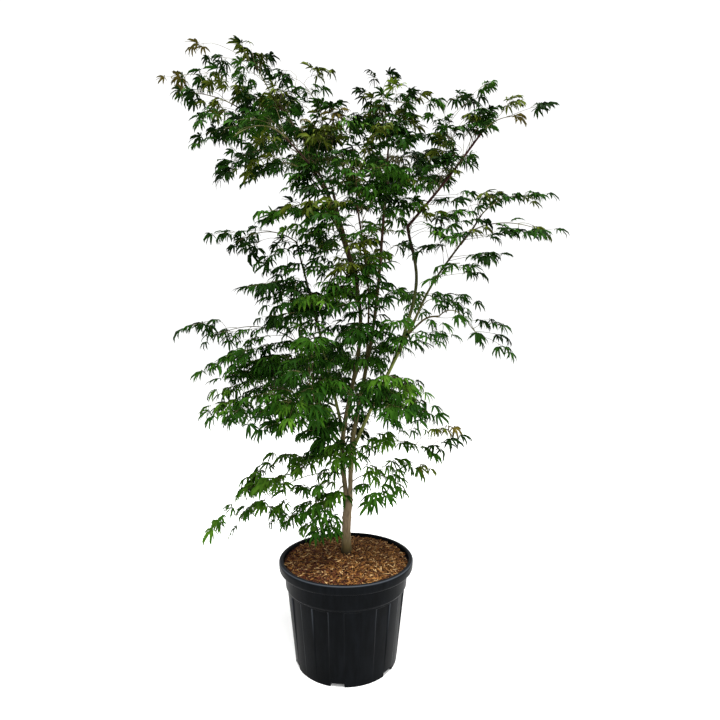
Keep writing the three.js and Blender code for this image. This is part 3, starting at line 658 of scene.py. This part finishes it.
# the sprays that stand out against the sky in the photograph, by region: where the leaves of each begin and where
# they end, in pixels of its 720 x 720 frame, how far behind the trunk they end, in depth steps, and for some a tone
openSprays = [
    # crest
    (212, 44, 190, 48, 60, "russet"), (238, 60, 204, 57, 40), (246, 58, 241, 38, 0), (250, 62, 242, 47, 0),
    (255, 64, 250, 45, 20, "olive"), (257, 66, 264, 53, 60), (252, 73, 239, 62, 0), (262, 76, 259, 62, 20),
    (258, 76, 222, 73, 40), (296, 75, 265, 69, 60), (300, 82, 280, 74, 20), (304, 82, 330, 70, 0, "olive"),
    (306, 91, 320, 88, 20), (316, 96, 298, 88, 0),
    # far left
    (222, 76, 178, 75, -20), (200, 77, 158, 78, -30, "russet"), (215, 93, 174, 89, -60),
    (236, 102, 199, 102, -60), (258, 92, 222, 87, -40), (234, 80, 212, 83, 0), (222, 108, 200, 115, -80),
    (218, 112, 202, 121, -110), (248, 117, 213, 122, -60), (250, 125, 211, 129, -40), (245, 126, 196, 137, -90),
    # upper left
    (272, 150, 221, 164, -150), (275, 158, 234, 170, -120), (282, 158, 262, 172, -100), (296, 156, 276, 170, -90),
    (312, 168, 287, 188, -100), (322, 186, 300, 190, -120), (246, 160, 222, 168, -150),
    (244, 166, 226, 174, -140), (220, 138, 198, 144, -80),
    # top
    (378, 88, 373, 74, 0), (384, 87, 391, 76, -20), (372, 99, 362, 91, 20), (396, 98, 395, 86, -30, "lime"),
    (402, 102, 411, 91, 20), (412, 103, 425, 94, 40), (420, 105, 441, 99, 60), (446, 104, 464, 97, 80),
    (338, 112, 326, 104, -20),
    # red limb
    (456, 112, 481, 96, 40), (474, 94, 491, 82, 40), (444, 122, 430, 116, 60), (470, 127, 498, 106, 20),
    (462, 123, 480, 110, 20), (455, 133, 470, 121, 40), (500, 116, 514, 97, 10), (522, 112, 549, 103, 0),
    (440, 141, 424, 135, 60), (462, 150, 445, 140, 40), (464, 158, 446, 156, 0), (462, 156, 470, 163, 20),
    (442, 182, 425, 185, 0), (436, 172, 420, 170, 40), (404, 198, 418, 186, 20),
    # right shelf
    (470, 204, 501, 190, 0), (478, 202, 520, 196, -30), (510, 198, 556, 194, -40), (456, 198, 441, 200, 20),
    (448, 196, 472, 194, 20), (412, 219, 440, 212, -40), (424, 222, 452, 216, -10), (468, 208, 492, 203, 10),
    (436, 215, 475, 211, -20), (444, 204, 462, 200, 0), (418, 225, 434, 228, -30), (452, 229, 438, 232, -40),
    (312, 226, 284, 230, -40), (440, 245, 419, 251, -60), (456, 239, 434, 245, -50), (470, 233, 454, 238, -70),
    (446, 240, 466, 232, -60), (460, 235, 486, 228, -50), (490, 235, 513, 221, -60), (488, 237, 526, 230, -80),
    (520, 232, 562, 230, -110), (472, 257, 507, 253, -100), (470, 256, 484, 257, -60), (424, 232, 446, 236, -40),
    (462, 224, 484, 220, -40), (440, 224, 462, 222, -30),
    # right middle
    (446, 271, 433, 279, -40), (462, 264, 440, 266, -30), (450, 271, 473, 266, -40), (456, 275, 479, 273, -70),
    (424, 296, 444, 295, -30), (422, 295, 438, 299, -50), (446, 319, 464, 317, -40), (468, 323, 489, 320, -40),
    (486, 323, 501, 325, -50, "deep"), (484, 333, 507, 337, -60), (492, 341, 509, 352, -80),
    (420, 321, 441, 323, -40), (422, 333, 457, 335, -60), (420, 337, 437, 341, -80), (404, 345, 421, 343, -60),
    # left shelf
    (300, 210, 257, 212, -150), (350, 203, 285, 207, -140, "olive"), (332, 205, 305, 203, -120),
    (282, 217, 263, 222, -120), (262, 231, 207, 236, 0), (270, 239, 243, 250, -40), (296, 239, 276, 245, 20),
    (286, 252, 257, 264, -80), (300, 264, 267, 270, -60),
    # left inner
    (300, 279, 242, 289, -150), (290, 281, 262, 289, -120), (282, 295, 267, 299, -120),
    (302, 301, 263, 307, -140), (302, 313, 254, 319, -150), (300, 317, 275, 321, -110), (246, 331, 208, 334, 10),
    (220, 322, 183, 326, 20), (268, 337, 236, 342, 10), (206, 324, 182, 329, 0), (266, 329, 240, 331, 20),
    (264, 284, 246, 288, -140),
    # between the stems
    (346, 230, 304, 235, -80), (350, 239, 315, 239, -60), (342, 251, 301, 253, -100), (346, 267, 292, 269, -80),
    (355, 276, 318, 283, -120), (352, 286, 326, 296, -100), (358, 302, 334, 308, -120),
    # left dense
    (290, 341, 221, 358, -60), (250, 351, 198, 372, -60), (280, 359, 230, 366, -80), (262, 371, 213, 379, -80),
    (256, 383, 211, 392, -60), (242, 388, 218, 395, -30), (232, 404, 206, 411, -40), (262, 395, 204, 408, -60),
    (258, 404, 208, 419, -100), (290, 405, 243, 418, -100), (300, 415, 257, 432, -160),
    (310, 417, 278, 428, -160), (330, 427, 299, 434, -150, "deep"), (338, 435, 316, 442, -120, "deep"),
    # right low
    (385, 377, 413, 380, -60, "plain"), (395, 387, 431, 394, -100), (405, 399, 439, 406, -120),
    (412, 407, 442, 416, -140), (385, 404, 406, 410, -150), (375, 399, 358, 413, -120),
    (380, 419, 399, 422, -120), (372, 435, 403, 430, -60), (400, 433, 426, 428, -50),
    (425, 435, 441, 427, -40, "olive"), (436, 431, 452, 427, -40, "russet"), (440, 441, 459, 436, -60),
    (430, 439, 441, 449, -80), (392, 441, 413, 444, -60),
    # low right
    (384, 463, 401, 460, -50), (395, 463, 416, 468, -70), (410, 464, 431, 468, -80, "olive"),
    (386, 473, 399, 478, -80), (366, 465, 373, 474, -60), (372, 483, 398, 488, -100),
    (376, 487, 385, 496, -110, "plain"), (372, 481, 361, 485, -60), (376, 492, 371, 500, -60, "plain"),
    (360, 462, 376, 470, -60), (378, 462, 398, 470, -70),
    # low left
    (300, 458, 269, 453, 20), (284, 465, 258, 466, 0), (274, 468, 245, 478, -20), (300, 475, 261, 480, -60),
    (280, 479, 243, 490, -60), (244, 500, 225, 513, -60), (231, 516, 214, 528, -60), (300, 497, 277, 506, -60),
    (275, 497, 255, 506, -40), (300, 512, 286, 522, -90), (330, 499, 318, 517, -90),
    (334, 514, 334, 526, -70, "plain"), (330, 483, 305, 490, -100), (338, 466, 322, 474, -40),
    (342, 478, 324, 487, -50), (346, 484, 334, 496, -60), (320, 519, 302, 527, -90),
    (326, 523, 316, 532, -100, "deep"),
    # fork
    (345, 447, 324, 450, -40), (350, 451, 363, 456, -60), (348, 457, 333, 462, -60), (346, 461, 337, 470, -50),
    (352, 447, 374, 446, -40), (352, 472, 345, 458, -20), (351, 455, 346, 444, -20), (357, 445, 343, 446, -60),
    (362, 448, 348, 451, -70), (344, 443, 330, 446, -60), (353, 455, 339, 458, -80), (342, 451, 352, 461, -90),
    # painted shade: dark shade-toned leaves behind the fork fill the shadowed gap between the leaders
    (352, 440, 349, 412, 50, "shade"), (349, 444, 354, 422, 60, "shade"), (352, 432, 350, 404, 40, "shade"),
    (348, 430, 346, 408, 30, "shade"),
]

# where the photograph shows the crown closed: the corners of each patch in pixels, the nearest and furthest depth of
# its sprays, in depth steps, and how many end in it; the first eight lie behind and fill the crown's back
closedPatches = [
    (300, 338, 352, 372, 110, 240, 7), (285, 376, 345, 402, 100, 220, 7), (360, 376, 410, 408, 100, 220, 4),
    (258, 96, 304, 132, 110, 210, 5), (335, 155, 405, 200, 100, 240, 8), (345, 124, 400, 150, 100, 200, 5),
    (366, 214, 404, 282, 90, 220, 5), (300, 306, 350, 322, 100, 200, 2), (236, 88, 306, 136, -120, 120, 16),
    (300, 122, 335, 180, -120, 100, 8), (316, 108, 340, 132, -80, 60, 3), (340, 122, 400, 150, -120, 100, 13),
    (330, 152, 405, 203, -160, 100, 10), (424, 134, 446, 160, -60, 120, 3), (442, 124, 464, 170, -40, 100, 4),
    (410, 168, 440, 190, 70, 140, 4), (290, 204, 358, 216, -160, 0, 6), (335, 262, 362, 300, -120, 40, 3),
    (290, 282, 350, 300, -140, 60, 6), (275, 303, 350, 324, -140, 60, 5), (290, 330, 358, 372, -200, 80, 14),
    (235, 356, 290, 372, -120, 60, 10), (240, 376, 345, 400, -200, 80, 12), (245, 404, 335, 420, -220, 0, 9),
    (345, 374, 418, 414, -140, 60, 9), (355, 290, 400, 370, -120, 60, 7), (362, 212, 406, 284, -100, 60, 10),
    (270, 480, 325, 520, -150, 40, 5), (362, 100, 404, 114, -60, 80, 7), (316, 318, 346, 336, -120, 40, 1),
    (298, 322, 322, 336, -100, 20, 2), (302, 440, 346, 472, -80, 40, 6), (245, 478, 262, 492, -60, -20, 2),
    (392, 116, 422, 150, -60, 80, 7), (374, 166, 416, 204, -120, 60, 9), (464, 114, 490, 132, 0, 60, 5),
    (244, 84, 286, 108, -60, 100, 7), (240, 118, 284, 130, -150, -110, 1), (346, 160, 376, 184, -160, 40, 4),
    (442, 120, 462, 132, 20, 80, 2), (286, 118, 330, 150, -100, 60, 6), (316, 100, 338, 120, -60, 40, 2),
    (296, 160, 330, 188, -120, 20, 3), (396, 178, 420, 208, -60, 60, 8), (298, 282, 320, 298, -120, 20, 4),
    (276, 340, 298, 358, -120, 20, 4), (298, 222, 318, 250, -80, 20, 3), (265, 478, 340, 494, -120, 0, 1),
    (378, 318, 418, 338, -90, 20, 4), (304, 128, 334, 156, -100, 60, 5), (366, 284, 398, 300, -60, 40, 4),
    (352, 384, 378, 400, -120, 0, 3), (318, 418, 340, 436, -140, -40, 4), (338, 200, 360, 216, -120, 20, 2),
    (440, 158, 462, 178, -20, 80, 2), (320, 480, 340, 496, -100, 0, 2),
]

# how stems, twigs and stalks grow: lengths in millimetres, shares of a length, and ranges to draw from
growth = {
    "seed": 20, "leafSeed": 2000, "depthStep": 1.7, "nearDepth": 0.6, "hang": 1, "lead": 55, "wanted": 130,
    "aboveCost": 1.5, "endLeaf": 42, "endShare": 0.3, "margin": 28, "steps": 8, "firstNode": 0.35, "lastNode": 0.96,
    "twigArch": 0.14, "twigDroop": 0.18, "branchGap": 80, "branchFrom": 0.05, "branchSpan": 0.75,
    "branchVary": (0.7, 1.3), "branchAhead": (0.5, 1.1), "branchRise": (-0.2, 0.25),
    "stalk": (14, 28), "stalkSide": (0.4, 0.95), "stalkAhead": (0.6, 1.3), "stalkRise": (0.05, 0.18),
    "stalkSag": (0, 6), "stalkLevel": (1, 1, 0.3), "stalkArch": 2,
    "stemSteps": 24, "endFrom": 0.72, "goldenShare": 0.618, "firstShare": 0.08, "lastShare": 0.97,
    "forwardShare": 0.7, "forwardVary": (0.4, 1.6), "rises": (-0.25, 0.45), "shortTwig": 90, "widestAt": 0.4,
    "halfSpan": 0.85,
}

# shoots: the radii at both ends and the sides of their tubes
shoots = {"stem": (2.6, 1.1, 7), "twig": (1.1, 0.5, 4), "stalk": (0.55, 0.45, 3)}

# the leaf: turns of its lobes in degrees, shares of its length, ranges to draw from, and measures by height
leaf = {
    "length": 59, "vary": 0.2, "turns": (0, 30, -30, 62, -62, 102, -102), "turnVary": 0.09,
    "lengths": (1.0, 0.95, 0.95, 0.78, 0.78, 0.45, 0.45), "lengthVary": (0.86, 1.1), "stations": (0.04, 0.36, 0.72),
    "halfWidths": (0.045, 0.1, 0.074), "bend": (1.0, 2.0), "bendVary": (0.75, 1.25), "lift": 0.25, "fold": 0.42,
    "roll": 0.28, "twist": 0.5, "pitch": (-0.75, -0.15), "flatPitch": (-0.4, 0.05), "flatBend": 0.92,
    "hangFan": 0.85, "hangBelow": 1200, "flatAbove": 1550, "reachShare": 0.8, "perPiece": 2600,
    "heights": (650, 950, 1250, 1550, 2050), "sizes": (1.08, 0.985, 0.98, 0.955, 0.885),
    "widths": (0.88, 0.8, 0.8, 1.0, 1.0), "spacings": (84, 42, 42, 54, 76), "sideTwigs": (40, 48, 48, 43, 32),
}

# leaf tones, a dark and a pale tint each, from the painted shade of deep and shade, darker greens for leaves that
# lie in the crown's shade, to the russet and lime of young tips
tones = {"deep": ("#0a2003", "#1b370a"), "plain": ("#112c04", "#28470f"), "fresh": ("#1c3d06", "#3d5a17"),
         "olive": ("#222d05", "#424b12"), "russet": ("#2f2c0b", "#4e461a"), "lime": ("#364a0b", "#5c6d1e"),
         "shade": ("#051301", "#102405")}

# regions of the crown: their bounds from left to right and from low to high, in millimetres, and the share of their
# sprays that take each tone; a spray belongs to the first region that its end lies in. The larger shares of deep and
# shade up top, at the sides and inside are painted shade.
endless = 9999
regions = {
    "low": ((-endless, endless, -endless, 800), {"fresh": 0.5, "plain": 0.5}),
    "top": ((-endless, endless, 2080, endless),
            {"russet": 0.03, "olive": 0.22, "plain": 0.2, "deep": 0.2, "shade": 0.35}),
    "centre": ((-60, 300, 1450, endless),
               {"olive": 0.28, "fresh": 0.1, "plain": 0.28, "deep": 0.18, "shade": 0.16}),
    "upper": ((-endless, endless, 1650, endless), {"olive": 0.1, "plain": 0.22, "deep": 0.26, "shade": 0.42}),
    "right": ((300, endless, -endless, endless),
              {"olive": 0.06, "fresh": 0.04, "plain": 0.26, "deep": 0.34, "shade": 0.3}),
    "left": ((-endless, -100, 1250, endless), {"shade": 0.3, "deep": 0.35, "plain": 0.32, "fresh": 0.03}),
    "inner": ((-endless, endless, -endless, endless), {"deep": 0.47, "plain": 0.42, "fresh": 0.11}),
}


# maple leaf, a thin blade with a faint waxy shine: its green shifts softly from place to place
def leafBlade(name, dark, pale):
    return mottled(name, {"Roughness": 0.5, "Specular IOR Level": 0.015}, {"Scale": 1000 / 30, "Detail": 3.0},
                   [(0.3, dark), (0.72, pale)], {"Scale": 1000 / 4, "Detail": 2.0},
                   {"Strength": 0.25, "Distance": 0.001})


# thin brown-green shoots, smooth and slightly shiny
def shootBark():
    return mottled("young_shoot", {"Roughness": 0.6, "Specular IOR Level": 0.2}, {"Scale": 1000 / 60, "Detail": 3.0},
                   [(0.35, "#2c1c0d"), (0.65, "#4f5024")])


# a measure of the leaves at a height, read off its table
def byHeight(height, measure):
    return np.interp(height, leaf["heights"], leaf[measure])


# how far a leaf has levelled out, from 0 for the hanging leaves low down to 1 for those high up in the light
def levelled(roots):
    return np.interp(roots[:, 2], [leaf["hangBelow"], leaf["flatAbove"]], [0, 1])


# leaves, all at once: each has seven lance-shaped lobes that fan out from the stalk's end. A lobe leaves the palm
# a little above the leaf's plane and bends down at an even rate, so its spine is an arc of a circle; its half
# width follows the stations, turned a little about the spine, with the edges folded up, and it ends in a point.
def leafArrays(roots, headings, sizes, rng):
    n = len(roots)
    along = unit(headings)
    flat = unit(np.cross(up, along))
    face = np.cross(along, flat)
    roll = rng.normal(0, leaf["roll"], n)[:, None]
    side = flat * np.cos(roll) + face * np.sin(roll)
    face = np.cross(along, side)
    lobes = len(leaf["turns"])
    level = levelled(roots)[:, None]
    fan = leaf["hangFan"] + (1 - leaf["hangFan"]) * level
    turn = np.radians(np.array(leaf["turns"])) * fan + rng.normal(0, leaf["turnVary"], (n, lobes))
    length = sizes[:, None] * np.array(leaf["lengths"]) * rng.uniform(*leaf["lengthVary"], (n, lobes))
    bend = rng.uniform(*leaf["bend"], (n, 1)) * rng.uniform(*leaf["bendVary"], (n, lobes))
    bend *= 1 + (leaf["flatBend"] - 1) * level
    out = np.cos(turn)[..., None] * along[:, None] + np.sin(turn)[..., None] * side[:, None]
    across = -np.sin(turn)[..., None] * along[:, None] + np.cos(turn)[..., None] * side[:, None]
    s = np.array([*leaf["stations"], 1.0])
    slope = leaf["lift"] - bend[..., None] * s
    run = (np.sin(leaf["lift"]) - np.sin(slope)) / bend[..., None] * length[..., None]
    fall = (np.cos(slope) - np.cos(leaf["lift"])) / bend[..., None] * length[..., None]
    facing = face[:, None, None]
    spine = roots[:, None, None] + run[..., None] * out[:, :, None] + fall[..., None] * facing
    normal = -np.sin(slope)[..., None] * out[:, :, None] + np.cos(slope)[..., None] * facing
    girth = byHeight(roots[:, 2], "widths")[:, None]
    half = (girth * length)[..., None] * np.array(leaf["halfWidths"])
    twist = rng.normal(0, leaf["twist"], (n, lobes))[..., None, None]
    edge = half[..., None] * (np.cos(twist) * across[:, :, None] + np.sin(twist) * normal[:, :, :-1])
    lifted = (half * leaf["fold"])[..., None] * normal[:, :, :-1]
    rows = np.stack([spine[:, :, :-1] - edge + lifted, spine[:, :, :-1], spine[:, :, :-1] + edge + lifted], axis=3)
    stations = len(leaf["stations"])
    perLobe = 3 * stations + 1
    verts = np.concatenate([rows.reshape(n, lobes, 3 * stations, 3), spine[:, :, -1:]], axis=2)
    row = np.arange(stations - 1)[:, None] * 3
    pair = np.arange(2)
    quads = np.stack([row + pair, row + pair + 3, row + pair + 4, row + pair + 1], axis=-1).reshape(-1, 4)
    last = 3 * (stations - 1)
    tris = np.array([[last, perLobe - 1, last + 1], [last + 1, perLobe - 1, last + 2]])
    start = (np.arange(n * lobes) * perLobe)[:, None, None]
    return verts.reshape(-1, 3), (quads + start).reshape(-1, 4), (tris + start).reshape(-1, 3)


# the crown keeps to the box of the part, with a small margin for its real leaves
crownBox = np.array(cadBox) * 1000 + np.array([[-1], [1]]) * growth["margin"]


# the level direction to the left of a heading
def leftward(heading):
    return unit(np.cross(up, heading) + sliver)


# a leafy twig: stalked leaves in pairs from a share of its length on, and one at its end. For each leaf it gives
# the stalk's foot, the leaf's root at the stalk's end, its heading and its size.
def leafyTwig(path, first, rng):
    g = growth
    pairs = max(1, round(lengthOf(path) * (g["lastNode"] - first) / byHeight(path[-1, 2], "spacings")))
    shares = np.linspace(first, g["lastNode"], pairs + 1)[:-1] if pairs > 1 else [0.5 * (first + 1)]
    shares = np.repeat(shares, 2)
    n, ahead = len(shares), headingAt(path, shares)
    side = np.tile([1.0, -1.0], n // 2)[:, None] * leftward(ahead)
    out = unit(side * rng.uniform(*g["stalkSide"], (n, 1)) + ahead * rng.uniform(*g["stalkAhead"], (n, 1))
               + up * rng.normal(*g["stalkRise"], (n, 1)))
    feet = np.vstack([pointAt(path, shares), path[-1]])
    out = np.vstack([out, headingAt(path, 1)])
    roots = feet + out * rng.uniform(*g["stalk"], (n + 1, 1)) - up * rng.uniform(*g["stalkSag"], (n + 1, 1))
    level = unit(out * g["stalkLevel"] + sliver)
    share = rng.uniform(0, 1, n + 1)
    high = levelled(roots)
    pitch = (1 - high) * np.interp(share, [0, 1], leaf["pitch"]) + high * np.interp(share, [0, 1], leaf["flatPitch"])
    headings = level + up * pitch[:, None]
    sizes = leaf["length"] * byHeight(roots[:, 2], "sizes") * (1 + leaf["vary"] * rng.uniform(-1, 1, n + 1))
    ends = roots + leaf["reachShare"] * unit(headings) * sizes[:, None]
    inside = np.all((ends > crownBox[0]) & (ends < crownBox[1]), axis=1)
    return path, feet[inside], roots[inside], headings[inside], sizes[inside]


# one spray: a leafy twig and, along its leafy part, short side twigs to the left and right in turn
def growSpray(path, first, rng):
    g = growth
    twigs = [leafyTwig(path, first, rng)]
    count = int(lengthOf(path) * (1 - first) / g["branchGap"])
    for k in range(count):
        share = first + (1 - first) * (g["branchFrom"] + g["branchSpan"] * (k + 0.5) / count)
        here, ahead = pointAt(path, share), headingAt(path, share)
        side = leftward(ahead) * (1 if k % 2 else -1)
        reach = byHeight(here[2], "sideTwigs") * rng.uniform(*g["branchVary"])
        away = unit(side + ahead * rng.uniform(*g["branchAhead"]) + up * rng.uniform(*g["branchRise"]))
        tip = here + away * reach - up * g["twigDroop"] * reach
        twigs.append(leafyTwig(arch(here, tip, g["twigArch"] * reach, g["steps"]), g["firstNode"], rng))
    return twigs


# a spray that arches from a foot to a tip
def archedSpray(foot, tip, rng):
    rise = growth["twigArch"] * np.linalg.norm(tip - foot)
    return growSpray(arch(foot, tip, rise, growth["steps"]), growth["firstNode"], rng)


# the point seen at a pixel of the photograph at a depth: the eye plus the sight line carried to that depth
def sightPoint(u, v, depth):
    focus = studio["lens"] / studio["sensor"] * studio["frame"]
    right, rise = (u - studio["frame"] / 2) / focus, (studio["frame"] / 2 - v) / focus
    c, s = np.cos(studio["climb"]), np.sin(studio["climb"])
    way = (depth - studio["eye"][1]) / (c - rise * s)
    return np.array(studio["eye"], float) + way * np.array([right, c - rise * s, s + rise * c])


# the place on the wood where a twig that passes a point leaves it: as near as may be to the wanted length away,
# not above the point and not further out from the trunk than it
def footFor(point, wood, wanted):
    gap = np.linalg.norm(wood - point, axis=1)
    above = np.maximum(0, wood[:, 2] - point[2])
    outside = np.maximum(0, np.hypot(wood[:, 0], wood[:, 1]) - np.hypot(point[0], point[1]))
    return wood[np.argmin(np.abs(gap - wanted) + growth["aboveCost"] * above + outside)]


# the tone of a spray: a draw between 0 and 1 falls in one of the shares of its region, laid end to end
def toneOf(tip, rng):
    x, _, z = tip
    shares = next(shares for (left, right, low, high), shares in regions.values()
                  if left < x < right and low < z < high)
    place = np.searchsorted(np.cumsum(list(shares.values())), rng.uniform())
    return list(shares)[min(place, len(shares) - 1)]


# sprays that stand out against the sky: each leaves the wood near the place where its leaves begin and runs
# through it, in a smooth line, to its end, which stops short by its last leaf
def skySprays(wood):
    g, sprays = growth, []
    for u, v, endU, endV, steps, *tone in openSprays:
        depth = g["depthStep"] * steps
        rng = np.random.default_rng([g["seed"], u, v, endU, endV])
        begin = sightPoint(u, v - g["hang"], g["nearDepth"] * depth)
        end = sightPoint(endU, endV - g["hang"], depth)
        run = np.linalg.norm(end - begin)
        outward = np.hypot(end[0] - begin[0], end[1] - begin[1]) / run
        end = end - unit(end - begin) * outward * min(g["endLeaf"], g["endShare"] * run)
        foot = footFor(begin, wood, g["lead"])
        lead = np.linalg.norm(begin - foot)
        path = lineThrough([foot, begin, end], g["steps"])
        spray = growSpray(path, lead / (lead + np.linalg.norm(end - begin)), rng)
        sprays.append((spray, tone[0] if tone else toneOf(end, rng)))
    return sprays


# sprays whose ends lie anywhere in the closed patches, on the nearest wood that can carry them
def patchSprays(wood):
    sprays = []
    for left, top, right, bottom, near, far, count in closedPatches:
        for k in range(count):
            rng = np.random.default_rng([growth["seed"], left, top, k])
            u, v, steps = rng.uniform(left, right), rng.uniform(top, bottom), rng.uniform(near, far)
            tip = sightPoint(u, v, growth["depthStep"] * steps)
            sprays.append((archedSpray(footFor(tip, wood, growth["wanted"]), tip, rng), toneOf(tip, rng)))
    return sprays


# a mass: an arching stem from its limb to its furthest point and a spray at its end. At the back others leave the
# stem left and right in turn, at places that step by the golden share, and are longest near its middle.
def growMass(index, name, lines):
    g = growth
    reach, rise, *place = masses[name]
    limb, at = place or ("bough_" + name, 1)
    rng = np.random.default_rng(g["seed"] + index)
    start = placeOn(lines[limb], at)
    way = np.array(reach, float) - start
    end = start + way * (1 - 2 * leaf["length"] / np.linalg.norm(way))
    stem = arch(start, end, rise, g["stemSteps"])
    sprays = [(archedSpray(pointAt(stem, g["endFrom"]), end, rng), toneOf(end, rng))]
    spread, count = backMasses.get(name, (0, 0))
    for k in range(count):
        share = g["lastShare"] - (g["lastShare"] - g["firstShare"]) * ((k * g["goldenShare"]) % 1)
        foot, heading = pointAt(stem, share), headingAt(stem, share)
        side = unit(np.cross(heading, up)) * (1 if k % 2 == 0 else -1)
        width = spread * np.sqrt(1 - ((share - g["widestAt"]) / g["halfSpan"])**2)
        climb = rng.uniform(*g["rises"])
        direction = unit(heading * g["forwardShare"] * rng.uniform(*g["forwardVary"]) + side + climb * up)
        length = rng.uniform(g["shortTwig"], width)
        tip = foot + direction * length - up * g["twigDroop"] * length
        sprays.append((archedSpray(foot, tip, rng), toneOf(tip, rng)))
    return stem, sprays


# tubes that taper evenly round many shoots of one kind
def shootTubes(paths, kind):
    thick, thin, sides = shoots[kind]
    return tubes(paths, np.ones((len(paths), 1)) * np.linspace(thick, thin, paths.shape[1]), sides)


# stems, twigs, leaf stalks and leaves of the crown, each kind joined; leaves are joined by tone
def buildCrown(lines):
    stems, grown, byTone = [], [], {tone: [] for tone in tones}
    for index, name in enumerate(masses):
        stem, sprays = growMass(index, name, lines)
        stems.append(stem)
        grown += sprays
    wood = np.concatenate([*lines.values(), *stems])
    grown += skySprays(wood) + patchSprays(wood)
    for spray, tone in grown:
        byTone[tone] += spray
    every = sum(byTone.values(), [])
    stems, twigs = np.stack(stems), np.stack([twig[0] for twig in every])
    foot, root = (np.concatenate([twig[i] for twig in every]) for i in (1, 2))
    stalks = np.stack([foot, (foot + root) / 2 + growth["stalkArch"] * up, root], axis=1)
    young, foliage = shootBark(), ["foliage_" + name for name in masses]
    twigTubes = joined([shootTubes(stems, "stem"), shootTubes(twigs, "twig")])
    dress(meshPiece("crown_twigs", *twigTubes, young), "bark", *foliage)
    dress(meshPiece("leaf_stalks", *shootTubes(stalks, "stalk"), young), "leaves", *foliage)
    for k, (tone, (dark, pale)) in enumerate(tones.items()):
        roots, headings, sizes = (np.concatenate([twig[i] for twig in byTone[tone]]) for i in (2, 3, 4))
        rng = np.random.default_rng(growth["leafSeed"] + k)
        blade = leafBlade(tone + "_leaf", dark, pale)
        for part, first in enumerate(range(0, len(roots), leaf["perPiece"])):
            chosen = slice(first, first + leaf["perPiece"])
            arrays = leafArrays(roots[chosen], headings[chosen], sizes[chosen], rng)
            dress(meshPiece(f"{tone}_leaves_{part + 1}", *arrays, blade), "leaves", *foliage)
        print(tone, len(roots), "leaves")
    print("crown", len(stems), "masses", len(grown), "sprays", len(twigs), "twigs", len(foot), "leaves")


# Studio

# plain matt floor, warm white, lit from within so that shadows on it stay faint
def floorPaint():
    glow = {"Emission Color": tint("#ffffff"), "Emission Strength": 0.1}
    return startMaterial("matt_floor_paint", {"Base Color": tint("#fafaf9"), "Roughness": 0.9, **glow})[0]


# an object at a place and turn that holds a lamp or a camera
def holderOf(name, held, place, turn):
    holder = bpy.data.objects.new(name, held)
    holder.location = [v * metre for v in place]
    holder.rotation_euler = turn
    bpy.context.scene.collection.objects.link(holder)
    return holder


# a round floor, two large soft lamps, an even white surround and the camera
def buildStudio():
    sides, turn, here = studio["floorSides"], turnsOf(studio["floorSides"]), np.arange(studio["floorSides"])
    rim = np.stack([studio["floorRadius"] * np.cos(turn), studio["floorRadius"] * np.sin(turn), 0 * turn], axis=-1)
    verts = np.concatenate([rim, [[0, 0, 0]]])
    fan = np.stack([here, (here + 1) % sides, np.full(sides, sides)], axis=-1)
    meshPiece("studio_floor", verts, [], fan, floorPaint())
    for name, (place, size, power) in studio["lamps"].items():
        lamp = bpy.data.lights.new(name, "AREA")
        lamp.size, lamp.energy = size, power
        x, y, z = np.array(studio["lampAim"]) - np.array(place)
        holderOf(name, lamp, place, (np.arctan2(np.hypot(x, y), -z), 0, np.arctan2(-x, y)))
    world = bpy.data.worlds.new("white_studio")
    world.use_nodes = True
    world.node_tree.nodes["Background"].inputs["Color"].default_value = (1, 1, 1, 1)
    world.node_tree.nodes["Background"].inputs["Strength"].default_value = studio["surround"]
    bpy.context.scene.world = world
    bpy.context.scene.view_settings.view_transform = "Standard"
    camera = bpy.data.cameras.new("photo_camera")
    camera.lens, camera.sensor_width, camera.clip_end = studio["lens"], studio["sensor"], studio["sightEnd"]
    turn = (np.pi / 2 + studio["climb"], 0, 0)
    bpy.context.scene.camera = holderOf("photo_camera", camera, studio["eye"], turn)
    print("studio ready")


limbLines = layOutLimbs()
buildPot()
buildMound()
buildChips()
buildWood(limbLines)
buildCrown(limbLines)
buildStudio()
